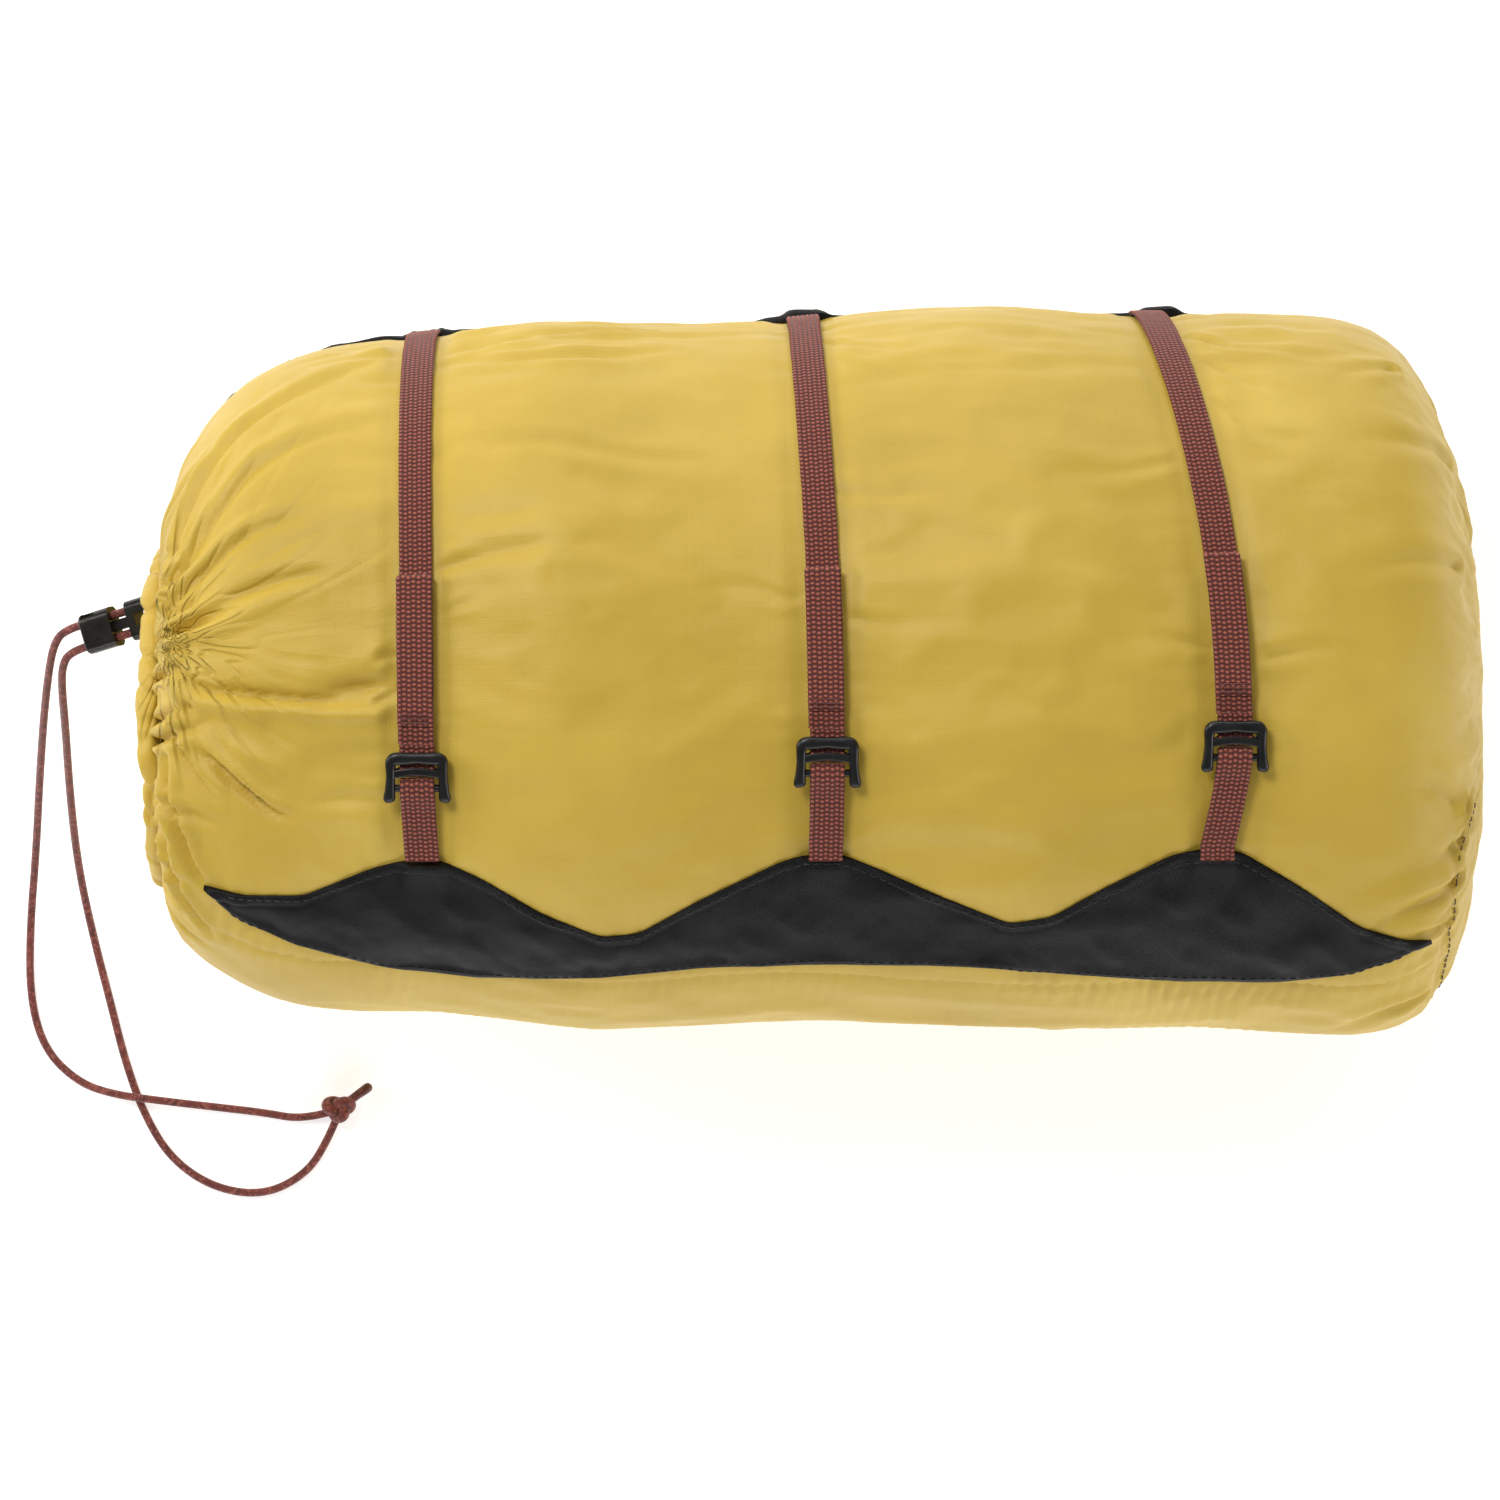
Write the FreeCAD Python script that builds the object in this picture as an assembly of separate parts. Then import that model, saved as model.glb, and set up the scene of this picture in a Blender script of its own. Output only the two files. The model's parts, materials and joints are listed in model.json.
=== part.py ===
"""A compression stuff sack, packed full and lying on its side.

A fabric tube gathered by a drawcord at the mouth (-X) and closed by a round panel at the other end (+X).
Two reinforcement panels run along opposite sides of the tube. Three webbing straps start at the peaks of the
rear panel, cross the top, go through ladder-lock buckles and end in sewn pull loops. Each buckle hangs in a
short anchor loop sewn to a peak of the front panel. A two-part spring lock holds the drawcord's two ends.

Millimetres. +X runs from the mouth to the closed end, +Z is up, and the sack rests on z = 0.
"""
import FreeCAD
import Part
import math
import os

from FreeCAD import Matrix, Placement, Vector

os.makedirs("parts", exist_ok=True)

# ---------------------------------------------------------------- driving dimensions
FABRIC = 1.0             # shell fabric with its coating and seam layers, modelled thick
FABRIC_GAP = 0.4         # between the shell and the packed contents
PANEL_GAP = 0.2          # between the shell and a reinforcement panel
PANEL = 0.7              # reinforcement panel
PLUMPNESS = 2.15         # exponent of the superellipse cross-section: 2 is an ellipse
SECTION_POINTS = 28      # points of each cross-section curve

WEB_WIDTH = 10.0         # webbing width
WEB = 1.1                # webbing thickness
STRAP_LIFT = 0.35        # gap under the standing strap
BUCKLE_LIFT = 0.4        # the buckles ride this much above the sack
TAIL_LIFT = 1.85         # height above that of the webbing layer that lies on the standing strap
LOOP_HEIGHT = 2.15       # both layers of a pull loop
LOOP_LENGTH = 45.0       # a pull loop, from its bar tack to its fold
LOOP_START = 10.1        # where it starts, from the middle of the buckle

CORD = 2.5               # drawcord diameter
RING_RADIUS = 46.0       # the drawcord's ring in the gathered mouth
RING_X = -188.5
MOUTH_Y = -13.0
MOUTH_Z = 92.0
TUNNEL_RADIUS = 2.9      # outside of the sewn tunnel round the drawcord
TUNNEL_BORE = 1.7
FLAP_BULGE = 11.5        # the flap inside the mouth bulges out by this much

# Cross-sections from the mouth to where the closed end begins to round off:
# x at the section's middle, middle y, half width, middle z, half height, lean (dx per dy of its plane)
TUBE_STATIONS = [
    (-185.5, MOUTH_Y, 46.5, MOUTH_Z, 46.5, 0.0),
    (-190.5, MOUTH_Y, 52.0, MOUTH_Z, 51.5, 0.0),
    (-190.5, -11.5, 62.0, 91.5, 59.5, 0.0),
    (-184.5, -8.0, 76.5, 91.0, 70.5, 0.0),
    (-171.0, -3.5, 89.5, 90.0, 80.0, 0.0),
    (-150.0, -2.0, 98.5, 89.5, 87.5, 0.0),
    (-114.0, -0.5, 102.0, 88.5, 91.0, -0.015),
    (-60.0, -1.0, 106.5, 91.0, 95.0, -0.03),
    (1.5, 0.0, 106.0, 89.5, 92.5, -0.05),
    (60.0, 1.2, 109.0, 92.0, 96.0, -0.09),
    (116.0, 0.0, 107.5, 90.5, 93.0, -0.12),
    (143.0, -0.5, 108.8, 91.2, 94.8, -0.08),
]
DOME_START = 160.0       # the closed end is rounded like a superellipse from here ...
DOME_DEPTH = 40.0        # ... over this much of the length
DOME_ROUNDNESS = 2.4
DOME_WIDTH, DOME_HEIGHT = 108.3, 94.3
DOME_ANGLES = (90, 76, 63, 51, 40, 30, 21, 13, 6)
END_SEAM_X = 186.0       # where the round end panel is sewn to the tube
SEAM_Z = 99.0            # the side seams lie on a plane through this height at y = 0 ...
SEAM_SLOPE = -0.495      # ... that falls this much per millimetre of y

# Straps: name number, buckle middle x, buckle middle y, bend of the strap across the top (1/mm)
STRAPS = [
    (1, -113.0, -30.0, -0.00014),
    (2, 4.2, -25.8, -0.00038),
    (3, 120.2, -21.4, -0.00120),
]
ANCHOR_END_Y = -52.5     # where the anchor loops are sewn to the front panel's peaks
STRAP_TOP_Z = 93.0       # where the straps are sewn to the rear panel's peaks

# Ladder-lock buckle, in its own frame: u along X, v up the strap, w off the sack
BUCKLE_WIDTH = 17.6
BUCKLE_TOP = 7.4
BUCKLE_FOOT = -7.4
RAIL = 2.3               # width of a side rail
RAIL_LOW, RAIL_HIGH = 2.2, 5.6
TOP_BAR_EDGE = 4.4       # lower edge of the top bar
TOP_BAR_LOW, TOP_BAR_HIGH = 3.1, 5.8
TOOTH_BAR = (0.9, 2.6, 1.75, 3.1)    # v low, v high, w low, w high
PIVOT_V, PIVOT_W = -3.2, 3.3         # the anchor bar, which the buckle tilts about
PIVOT_RADIUS = 1.2

# Cord lock, along its own axis s from the mouth outwards
LOCK_START = Vector(-192.8, 17.5, 121.0)
LOCK_AXIS = Vector(-0.91, -0.265, -0.31)
LOCK_WIDTH = 12.0
LOCK_THICK = 8.0
HEAD_LENGTH = 8.5
BARREL_START = 14.2      # leaves room for the plunger to be pressed in by 4 mm
BARREL_LENGTH = 10.0
CORD_SPACING = 6.6       # between the two cord channels
CHANNEL_RADIUS = 1.45
STEM_WIDTH = 3.2
STEM_END = 16.2
CAVITY_END = 23.2
SPRING_RADIUS = 1.2
SPRING_WIRE = 0.5        # wire diameter
SPRING_COILS = 4
LEG_RUN = 1.8            # the cords run straight from this far before the lock

# The free drawcord's two strands, from the lock to the knot; they leave the lock along its axis
KNOT = Vector(-147.4, -135.8, 4.3)
KNOT_SIZE = (6.2, 5.0, 4.2)
TAIL_END = Vector(-137.6, -128.9, 2.6)
TAIL_RADIUS = 1.45
EXIT_RUN = 6.6
FLOOR_Z = CORD / 2 + 0.05
STRAND_A = [
    (-225.2, 8.4, 106.8), (-227.8, 1.3, 97.0), (-231.5, -11.5, 78.0), (-236.5, -31.0, 47.0),
    (-241.0, -54.5, 18.5), (-244.8, -79.0, 2.6), (-245.0, -101.0, FLOOR_Z), (-240.5, -117.5, FLOOR_Z),
    (-229.5, -128.0, 1.8), (-217.5, -131.6, 4.7), (-203.5, -133.4, 4.7), (-187.5, -135.5, FLOOR_Z),
    (-171.5, -137.3, FLOOR_Z), (-158.8, -139.6, 1.7), (-150.0, -137.0, 2.4),
]
STRAND_B = [
    (-222.8, 1.8, 106.8), (-224.0, -5.0, 96.5), (-225.2, -16.5, 76.5), (-227.5, -36.0, 45.0),
    (-228.2, -59.0, 16.5), (-224.9, -82.0, 2.0), (-219.5, -103.0, FLOOR_Z), (-215.0, -121.0, FLOOR_Z),
    (-209.0, -138.0, FLOOR_Z), (-200.5, -152.0, FLOOR_Z), (-187.0, -161.2, FLOOR_Z), (-171.0, -163.5, FLOOR_Z),
    (-157.5, -156.5, FLOOR_Z), (-150.8, -145.5, 1.5), (-148.2, -139.0, 2.4),
]


# ---------------------------------------------------------------- helpers
def export(name, shape):
    """Writes one sub-part and prints what it is made of."""
    shape.exportStep(f"parts/{name}.step")
    print(f"{name:26s} solids {len(shape.Solids)}  volume {shape.Volume:12.1f}  valid {shape.isValid()}")


def box(x0, x1, y0, y1, z0, z1):
    return Part.makeBox(x1 - x0, y1 - y0, z1 - z0, Vector(x0, y0, z0))


def power(value, exponent):
    return math.copysign(abs(value) ** exponent, value)


def prism(points, direction):
    """A polygon of corner points, swept along a direction."""
    return Part.Face(Part.makePolygon(points + points[:1])).extrude(direction)


def smooth_prism(edges, direction):
    return Part.Face(Part.Wire(edges)).extrude(direction)


# ---------------------------------------------------------------- the sack's shape
def dome_stations():
    """Cross-sections of the rounded closed end, ever smaller towards the tip."""
    stations = []
    for degrees in DOME_ANGLES:
        angle = math.radians(degrees)
        share = math.sin(angle) ** (2 / DOME_ROUNDNESS)
        x = DOME_START + DOME_DEPTH * math.cos(angle) ** (2 / DOME_ROUNDNESS)
        sink = 1 - share
        stations.append((x, -0.8 - 8 * sink, DOME_WIDTH * share, 90.8 - sink, DOME_HEIGHT * share, -0.05 * share))
    return stations


STATIONS = TUBE_STATIONS + dome_stations()


def offset_station(i, offset):
    """Station i moved along the profile's normal: outwards for a positive offset."""
    x, y, a, z, b, lean = STATIONS[i]
    before, after = STATIONS[max(i - 1, 0)], STATIONS[min(i + 1, len(STATIONS) - 1)]
    dx = after[0] - before[0]
    dr = (after[2] + after[4] - before[2] - before[4]) / 2
    if i == len(STATIONS) - 1:
        dx, dr = 0.0, -1.0
    run = math.hypot(dx, dr)
    return x - offset * dr / run, y, a + offset * dx / run, z, b + offset * dx / run, lean


def section_wire(x, y, a, z, b, lean):
    points = []
    for k in range(SECTION_POINTS):
        angle = 2 * math.pi * k / SECTION_POINTS
        dy = a * power(math.sin(angle), 2 / PLUMPNESS)
        dz = b * power(math.cos(angle), 2 / PLUMPNESS)
        points.append(Vector(x + lean * dy, y + dy, z + dz))
    curve = Part.BSplineCurve()
    curve.interpolate(Points=points, PeriodicFlag=True)
    return Part.Wire(curve.toShape())


def sack_body(offset, bottom):
    """The packed sack's outside moved by an offset, cut flat at the height where it rests."""
    wires = [section_wire(*offset_station(i, offset)) for i in range(len(STATIONS))]
    loft = Part.makeLoft(wires, True, False)
    return loft.common(box(-260, 260, -160, 160, bottom, 260))


def above_seams(upper):
    """The half of space above or below the plane of the two side seams."""
    reach = 170.0
    low = [Vector(-260, y, SEAM_Z + SEAM_SLOPE * y) for y in (-reach, reach)]
    rise = Vector(0, 0, 300 if upper else -300)
    face = [low[0], low[1], low[1] + Vector(520, 0, 0), low[0] + Vector(520, 0, 0)]
    return prism(face, rise)


def build_shell():
    outer, inner = sack_body(0.0, 0.0), sack_body(-FABRIC, FABRIC)
    shell = outer.cut(inner)
    mouth = Part.makeCylinder(RING_RADIUS - 0.5, 30, Vector(RING_X - 20, MOUTH_Y, MOUTH_Z), Vector(1, 0, 0))
    shell = shell.cut(mouth)
    tube = shell.common(box(-260, END_SEAM_X, -160, 160, -10, 260))
    export("top_fabric_panel", tube.common(above_seams(True)))
    export("bottom_fabric_panel", tube.common(above_seams(False)))
    export("end_panel", shell.common(box(END_SEAM_X, 260, -160, 160, -10, 260)))


def build_contents():
    body = sack_body(-FABRIC - FABRIC_GAP, FABRIC + FABRIC_GAP)
    mouth = Part.makeCylinder(RING_RADIUS + 4.0, 30, Vector(RING_X - 25, MOUTH_Y, MOUTH_Z), Vector(1, 0, 0))
    export("packed_sleeping_bag", body.cut(mouth))


# ---------------------------------------------------------------- reinforcement panels
def build_reinforcements(skin):
    peak_half = 6.5
    front, peaks_y, valleys_y, seam_y = [], -53.5, -78.5, -87.5
    front.append((-183.0, -62.0))
    for i, (_, bx, _, _) in enumerate(STRAPS):
        front += [(bx - 38, -66.0 if i == 0 else -65.5), (bx - peak_half, peaks_y), (bx + peak_half, peaks_y)]
        front.append((bx + 30, -68.0))
        if i < 2:
            middle = (bx + STRAPS[i + 1][1]) / 2
            front.append((middle, valleys_y))
    front += [(181.0, -75.0), (150.0, seam_y - 0.5), (60.0, seam_y + 0.5), (-60.0, seam_y - 1.0), (-130.0, -84.0)]
    plan = [Vector(x, y, MOUTH_Z + 5) for x, y in front]
    export("front_reinforcement", skin.common(prism(plan, Vector(0, 0, 150))))

    rear, peak_z, valley_z, seam_z = [(-176.0, 78.0)], STRAP_TOP_Z - 0.6, 66.0, 52.0
    tops = [strap_x(strap, 106.0) for strap in STRAPS]
    for i, top in enumerate(tops):
        rear += [(top - peak_half, peak_z), (top + peak_half, peak_z)]
        if i < 2:
            rear.append(((top + tops[i + 1]) / 2, valley_z))
    rear += [(181.0, 62.0), (140.0, seam_z), (-130.0, seam_z + 1)]
    side = [Vector(x, 20, z) for x, z in rear]
    export("rear_reinforcement", skin.common(prism(side, Vector(0, 150, 0))))


# ---------------------------------------------------------------- straps
def strap_x(strap, y):
    """Middle of a strap at a given y, seen from above."""
    _, bx, by, bend = strap
    return bx + bend * (y - by) ** 2


def strap_band(strap, y0, y1):
    """An upright prism over a strap's plan, between two y values."""
    ys = [y0 + (y1 - y0) * k / 6 for k in range(7)]
    sides = []
    for sign in (-1, 1):
        curve = Part.BSplineCurve()
        curve.interpolate([Vector(strap_x(strap, y) + sign * WEB_WIDTH / 2, y, STRAP_TOP_Z) for y in ys])
        sides.append(curve)
    left, right = sides
    ends = [
        Part.makeLine(left.StartPoint, right.StartPoint),
        Part.makeLine(left.EndPoint, right.EndPoint),
    ]
    return smooth_prism([left.toShape(), ends[1], right.toShape(), ends[0]], Vector(0, 0, 150))


class BuckleFrame:
    """The place of one buckle: u along X, v up the strap and w off the sack, from the strap's middle line."""

    def __init__(self, strap, sack):
        self.number, self.x, self.y, _ = strap
        low, high = self.surface(sack, self.y - 4), self.surface(sack, self.y + 4)
        self.origin = Vector(self.x, self.y, self.surface(sack, self.y).z)
        self.v = (high - low).normalize()
        self.u = Vector(1, 0, 0)
        self.w = self.u.cross(self.v)
        self.origin += self.w * BUCKLE_LIFT
        self.place = Placement(Matrix(
            self.u.x, self.v.x, self.w.x, self.origin.x,
            self.u.y, self.v.y, self.w.y, self.origin.y,
            self.u.z, self.v.z, self.w.z, self.origin.z,
            0, 0, 0, 1))

    def surface(self, sack, y):
        """The point of the sack's top surface above (x, y)."""
        line = Part.makeLine(Vector(self.x, y, MOUTH_Z), Vector(self.x, y, 240))
        inside = sack.common(line)
        return Vector(self.x, y, max(v.Z for v in inside.Vertexes))

    def put(self, shape):
        shape.Placement = self.place.multiply(shape.Placement)
        return shape

    def point(self, v, w):
        return self.origin + self.v * v + self.w * w


def across(points, width):
    """A (v, w) outline swept along u, centred on the strap's middle line."""
    corners = [Vector(-width / 2, v, w) for v, w in points]
    return prism(corners, Vector(width, 0, 0))


def rounded(shape, radius, picks):
    edges = [e for e in shape.Edges if picks(e)]
    return shape.makeFillet(radius, edges)


def along_u(edge):
    a, b = (v.Point for v in edge.Vertexes) if len(edge.Vertexes) == 2 else (None, None)
    return a is not None and abs(a.y - b.y) < 1e-6 and abs(a.z - b.z) < 1e-6 and edge.Length > 1.0


def buckle_shape():
    """A ladder-lock: two rails, an arched top bar, a toothed bar and a round anchor bar."""
    half = BUCKLE_WIDTH / 2
    frame = box(-half, half, BUCKLE_FOOT, BUCKLE_TOP, RAIL_LOW, TOP_BAR_HIGH)
    frame = rounded(frame, 1.6, lambda e: abs(e.Vertexes[0].Z - e.Vertexes[-1].Z) > 2)
    window = box(-half + RAIL, half - RAIL, -20, TOP_BAR_EDGE, -5, 20)
    arch = Part.makeCylinder(16.0, 30, Vector(0, TOP_BAR_EDGE - 14.9, -5))
    frame = frame.cut(window).cut(arch.common(box(-5.2, 5.2, 0, 10, -5, 20)))
    under_top = box(-half + RAIL, half - RAIL, -20, 20, -5, TOP_BAR_LOW)
    frame = frame.cut(under_top)
    # the rails' feet rise off the sack, so that the buckle can tilt
    feet = prism([Vector(-20, BUCKLE_FOOT - 1, 0), Vector(-20, -3.4, 0), Vector(-20, -4.4, RAIL_LOW + 0.05),
                  Vector(-20, BUCKLE_FOOT - 1, 3.7)], Vector(40, 0, 0))
    top_slope = prism([Vector(-20, BUCKLE_FOOT - 1, 4.9), Vector(-20, 2.0, TOP_BAR_HIGH), Vector(-20, 2.0, 9),
                       Vector(-20, BUCKLE_FOOT - 1, 9)], Vector(40, 0, 0))
    frame = frame.cut(feet).cut(top_slope)
    v0, v1, w0, w1 = TOOTH_BAR
    tooth_bar = box(-half + RAIL - 0.2, half - RAIL + 0.2, v0, v1, w0 + 0.45, w1)
    teeth = []
    for k in range(5):
        u = (k - 2) * 1.9
        teeth.append(prism([Vector(u - 0.6, v0 + 0.1, w1 - 0.1), Vector(u + 0.6, v0 + 0.1, w1 - 0.1),
                            Vector(u + 0.3, v0 + 0.1, w1 + 0.02), Vector(u - 0.3, v0 + 0.1, w1 + 0.02)],
                           Vector(0, v1 - v0 - 0.2, 0)))
    anchor_bar = Part.makeCylinder(PIVOT_RADIUS, BUCKLE_WIDTH - 2 * RAIL + 0.4,
                                   Vector(-half + RAIL - 0.2, PIVOT_V, PIVOT_W), Vector(1, 0, 0))
    body = frame.fuse([tooth_bar, anchor_bar] + teeth).removeSplitter()
    try:
        top = [e for e in body.Edges if e.BoundBox.ZMin > TOP_BAR_HIGH - 0.01 and e.Length > 3]
        body = body.makeFillet(0.6, top)
    except Part.OCCError:
        print("the buckle keeps its top edges sharp")
    return body


def wrap_shape():
    """The webbing that comes up past the toothed bar, over it and out under the top bar."""
    v0, v1, _, w1 = TOOTH_BAR
    inside, top = v0 - 0.15, w1 + 0.15
    outside = inside - WEB
    down = v1 + 0.1
    profile = [(outside, 0.5), (inside, 0.5), (inside, top), (down, top), (down, TAIL_LIFT),
               (LOOP_START - 0.5, TAIL_LIFT), (LOOP_START - 0.5, TAIL_LIFT + WEB), (down + WEB, TAIL_LIFT + WEB),
               (down + WEB, top + WEB), (outside, top + WEB)]
    return across(profile, WEB_WIDTH)


def anchor_shape(frame):
    """The short loop from the front panel's peak round the anchor bar and back."""
    inner, outer = PIVOT_RADIUS + 0.12, PIVOT_RADIUS + 0.12 + WEB
    end_v = (ANCHOR_END_Y - frame.y) / frame.v.y
    drop = 0.47 - end_v ** 2 / 230.0
    ring = Part.makeCylinder(outer, WEB_WIDTH, Vector(-WEB_WIDTH / 2, PIVOT_V, PIVOT_W), Vector(1, 0, 0))
    hole = Part.makeCylinder(inner, 30, Vector(-15, PIVOT_V, PIVOT_W), Vector(1, 0, 0))
    ring = ring.cut(box(-20, 20, -20, PIVOT_V, -20, 20))
    joint_v = PIVOT_V - 9.0
    lower = across([(PIVOT_V, PIVOT_W - outer), (PIVOT_V, PIVOT_W - inner), (joint_v, 1.75), (end_v, drop + WEB),
                    (end_v, drop), (joint_v, 0.62)], WEB_WIDTH)
    upper = across([(PIVOT_V, PIVOT_W + inner), (PIVOT_V, PIVOT_W + outer), (PIVOT_V - 3.0, PIVOT_W + outer - 0.5),
                    (joint_v, 3.1), (end_v, drop + 2 * WEB + 0.1), (end_v, drop + WEB + 0.1), (joint_v, 1.95),
                    (PIVOT_V - 3.0, PIVOT_W + inner - 0.7)], WEB_WIDTH)
    tack = across([(end_v, drop), (end_v + 1.5, drop + 0.1), (end_v + 1.5, drop + 2 * WEB + 0.1),
                   (end_v, drop + 2 * WEB + 0.1)], WEB_WIDTH)
    return ring.cut(hole).fuse([lower, upper, tack]).removeSplitter()


def build_straps(sack):
    strap_skin = sack_body(STRAP_LIFT + WEB, 20.0).cut(sack_body(STRAP_LIFT, 19.0))
    loop_low = BUCKLE_LIFT + TAIL_LIFT
    loop_skin = sack_body(loop_low + LOOP_HEIGHT, 20.0).cut(sack_body(loop_low, 19.0))
    buckle, wrap = buckle_shape(), wrap_shape()
    for strap in STRAPS:
        frame = BuckleFrame(strap, sack)
        n = frame.number
        export(f"strap_{n}", strap_skin.common(strap_band(strap, frame.point(2.2, 0).y, 125.0)))
        start, end = frame.point(LOOP_START, 0).y, frame.point(LOOP_START + LOOP_LENGTH, 0).y
        export(f"pull_loop_{n}", loop_skin.common(strap_band(strap, start, end)))
        export(f"buckle_{n}", frame.put(buckle.copy()))
        export(f"strap_wrap_{n}", frame.put(wrap.copy()))
        export(f"anchor_loop_{n}", frame.put(anchor_shape(frame)))
        tilt, lift = frame.point(PIVOT_V, PIVOT_W), frame.point(LOOP_START - 0.3, TAIL_LIFT + 1.35)
        print(f"  buckle {n} tilts about {tuple(round(c, 3) for c in tilt)}, "
              f"its loop lifts about {tuple(round(c, 3) for c in lift)}")


# ---------------------------------------------------------------- gathered mouth
def lock_directions():
    along = Vector(LOCK_AXIS).normalize()
    side = Vector(0, 0, 1).cross(along).normalize()
    return along, side, along.cross(side)


def lock_place():
    """Local x runs along the lock, y from cord to cord, z through its thickness."""
    along, side, up = lock_directions()
    return Placement(Matrix(
        along.x, side.x, up.x, LOCK_START.x,
        along.y, side.y, up.y, LOCK_START.y,
        along.z, side.z, up.z, LOCK_START.z,
        0, 0, 0, 1))


def lock_point(s, q):
    along, side, _ = lock_directions()
    return LOCK_START + along * s + side * q


def strand_legs(start, end, radius):
    """Two straight channels or cords through the lock, from s = start to s = end."""
    along = lock_directions()[0]
    return [Part.makeCylinder(radius, end - start, lock_point(start, q), along)
            for q in (-CORD_SPACING / 2, CORD_SPACING / 2)]


def exit_legs(radius):
    """From the ring to the lock: the drawcord's two ends leave the ring side by side."""
    axis_y, axis_z = LOCK_START.y - MOUTH_Y, LOCK_START.z - MOUTH_Z
    reach = math.hypot(axis_y, axis_z)
    out = Vector(0, axis_y / reach, axis_z / reach)
    around = Vector(0, -out.z, out.y)
    foot = Vector(RING_X, MOUTH_Y, MOUTH_Z) + out * (RING_RADIUS - 0.1)
    legs = []
    for q in (-CORD_SPACING / 2, CORD_SPACING / 2):
        start, end = foot + around * q, lock_point(-LEG_RUN, q)
        legs.append(Part.makeCylinder(radius, (end - start).Length, start, end - start))
        legs.append(Part.makeSphere(radius, end))
    return legs


def build_mouth():
    centre, axis = Vector(RING_X, MOUTH_Y, MOUTH_Z), Vector(1, 0, 0)
    tunnel = Part.makeTorus(RING_RADIUS, TUNNEL_RADIUS, centre, axis)
    tunnel = tunnel.cut([Part.makeTorus(RING_RADIUS, TUNNEL_BORE, centre, axis)] + exit_legs(TUNNEL_BORE))
    export("drawcord_tunnel", tunnel)
    ring = Part.makeTorus(RING_RADIUS, CORD / 2, centre, axis)
    through = strand_legs(-LEG_RUN, BARREL_START + BARREL_LENGTH, CORD / 2)
    export("drawcord_in_tunnel", ring.fuse(exit_legs(CORD / 2) + through).removeSplitter())
    radius = RING_RADIUS - TUNNEL_RADIUS - 0.6
    ball = (radius ** 2 + FLAP_BULGE ** 2) / (2 * FLAP_BULGE)
    top = RING_X + 2.5 - FLAP_BULGE
    dish = Part.makeSphere(ball, Vector(top + ball, MOUTH_Y, MOUTH_Z))
    dish = dish.cut(Part.makeSphere(ball - FABRIC, Vector(top + ball, MOUTH_Y, MOUTH_Z)))
    plug = Part.makeCylinder(radius, FLAP_BULGE + 2.0, Vector(top - 1.0, MOUTH_Y, MOUTH_Z), axis)
    export("mouth_flap", dish.common(plug))


# ---------------------------------------------------------------- cord lock
def coil_spring():
    """A spring of square wire round local x, between the stem's end and the cavity's."""
    per_turn, half = 8, SPRING_WIRE / 2
    start, length = STEM_END + 0.1 + half, CAVITY_END - STEM_END - 0.2 - SPRING_WIRE
    sections = []
    for k in range(SPRING_COILS * per_turn + 1):
        angle = 2 * math.pi * k / per_turn
        x = start + length * k / (SPRING_COILS * per_turn)
        corners = []
        for dx, dr in ((-half, -half), (half, -half), (half, half), (-half, half)):
            r = SPRING_RADIUS + dr
            corners.append(Vector(x + dx, r * math.cos(angle), r * math.sin(angle)))
        sections.append(Part.makePolygon(corners + corners[:1]))
    return Part.makeLoft(sections, True, True)


def build_lock():
    place = lock_place()
    half_w, half_t = LOCK_WIDTH / 2, LOCK_THICK / 2

    def block(s0, s1, fillet, ends):
        shape = box(s0, s1, -half_w, half_w, -half_t, half_t)
        shape = shape.makeFillet(fillet, [e for e in shape.Edges if abs(e.Vertexes[0].X - e.Vertexes[-1].X) > 1])
        face_edges = [e for e in shape.Edges if e.BoundBox.XLength < 1e-6 and abs(e.Vertexes[0].X - ends) < 1e-6]
        return shape.makeFillet(1.1, face_edges)

    channels = [Part.makeCylinder(CHANNEL_RADIUS, 60, Vector(-10, q, 0), Vector(1, 0, 0))
                for q in (-CORD_SPACING / 2, CORD_SPACING / 2)]
    barrel_end = BARREL_START + BARREL_LENGTH
    barrel = block(BARREL_START, barrel_end, 2.6, barrel_end)
    cavity = box(BARREL_START - 1, CAVITY_END, -STEM_WIDTH / 2 - 0.15, STEM_WIDTH / 2 + 0.15,
                 -STEM_WIDTH / 2 - 0.15, STEM_WIDTH / 2 + 0.15)
    notch = box(BARREL_START + 4.5, BARREL_START + 9.0, -half_w - 1, -half_w + 1.1, -1.0, half_t + 1)
    barrel = barrel.cut(channels[0]).cut(channels[1]).cut(cavity).cut(notch)
    head = block(0.0, HEAD_LENGTH, 2.4, 0.0)
    recess = box(-1, HEAD_LENGTH - 2.4, -1.9, 1.9, -half_t - 1, half_t + 1)
    stem = box(HEAD_LENGTH - 1, STEM_END, -STEM_WIDTH / 2, STEM_WIDTH / 2, -STEM_WIDTH / 2, STEM_WIDTH / 2)
    plunger = head.cut(recess).cut(channels[0]).cut(channels[1]).fuse(stem).removeSplitter()
    for name, shape in (("cord_lock_barrel", barrel), ("cord_lock_plunger", plunger), ("cord_lock_spring", coil_spring())):
        shape.Placement = place.multiply(shape.Placement)
        export(name, shape)


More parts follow.
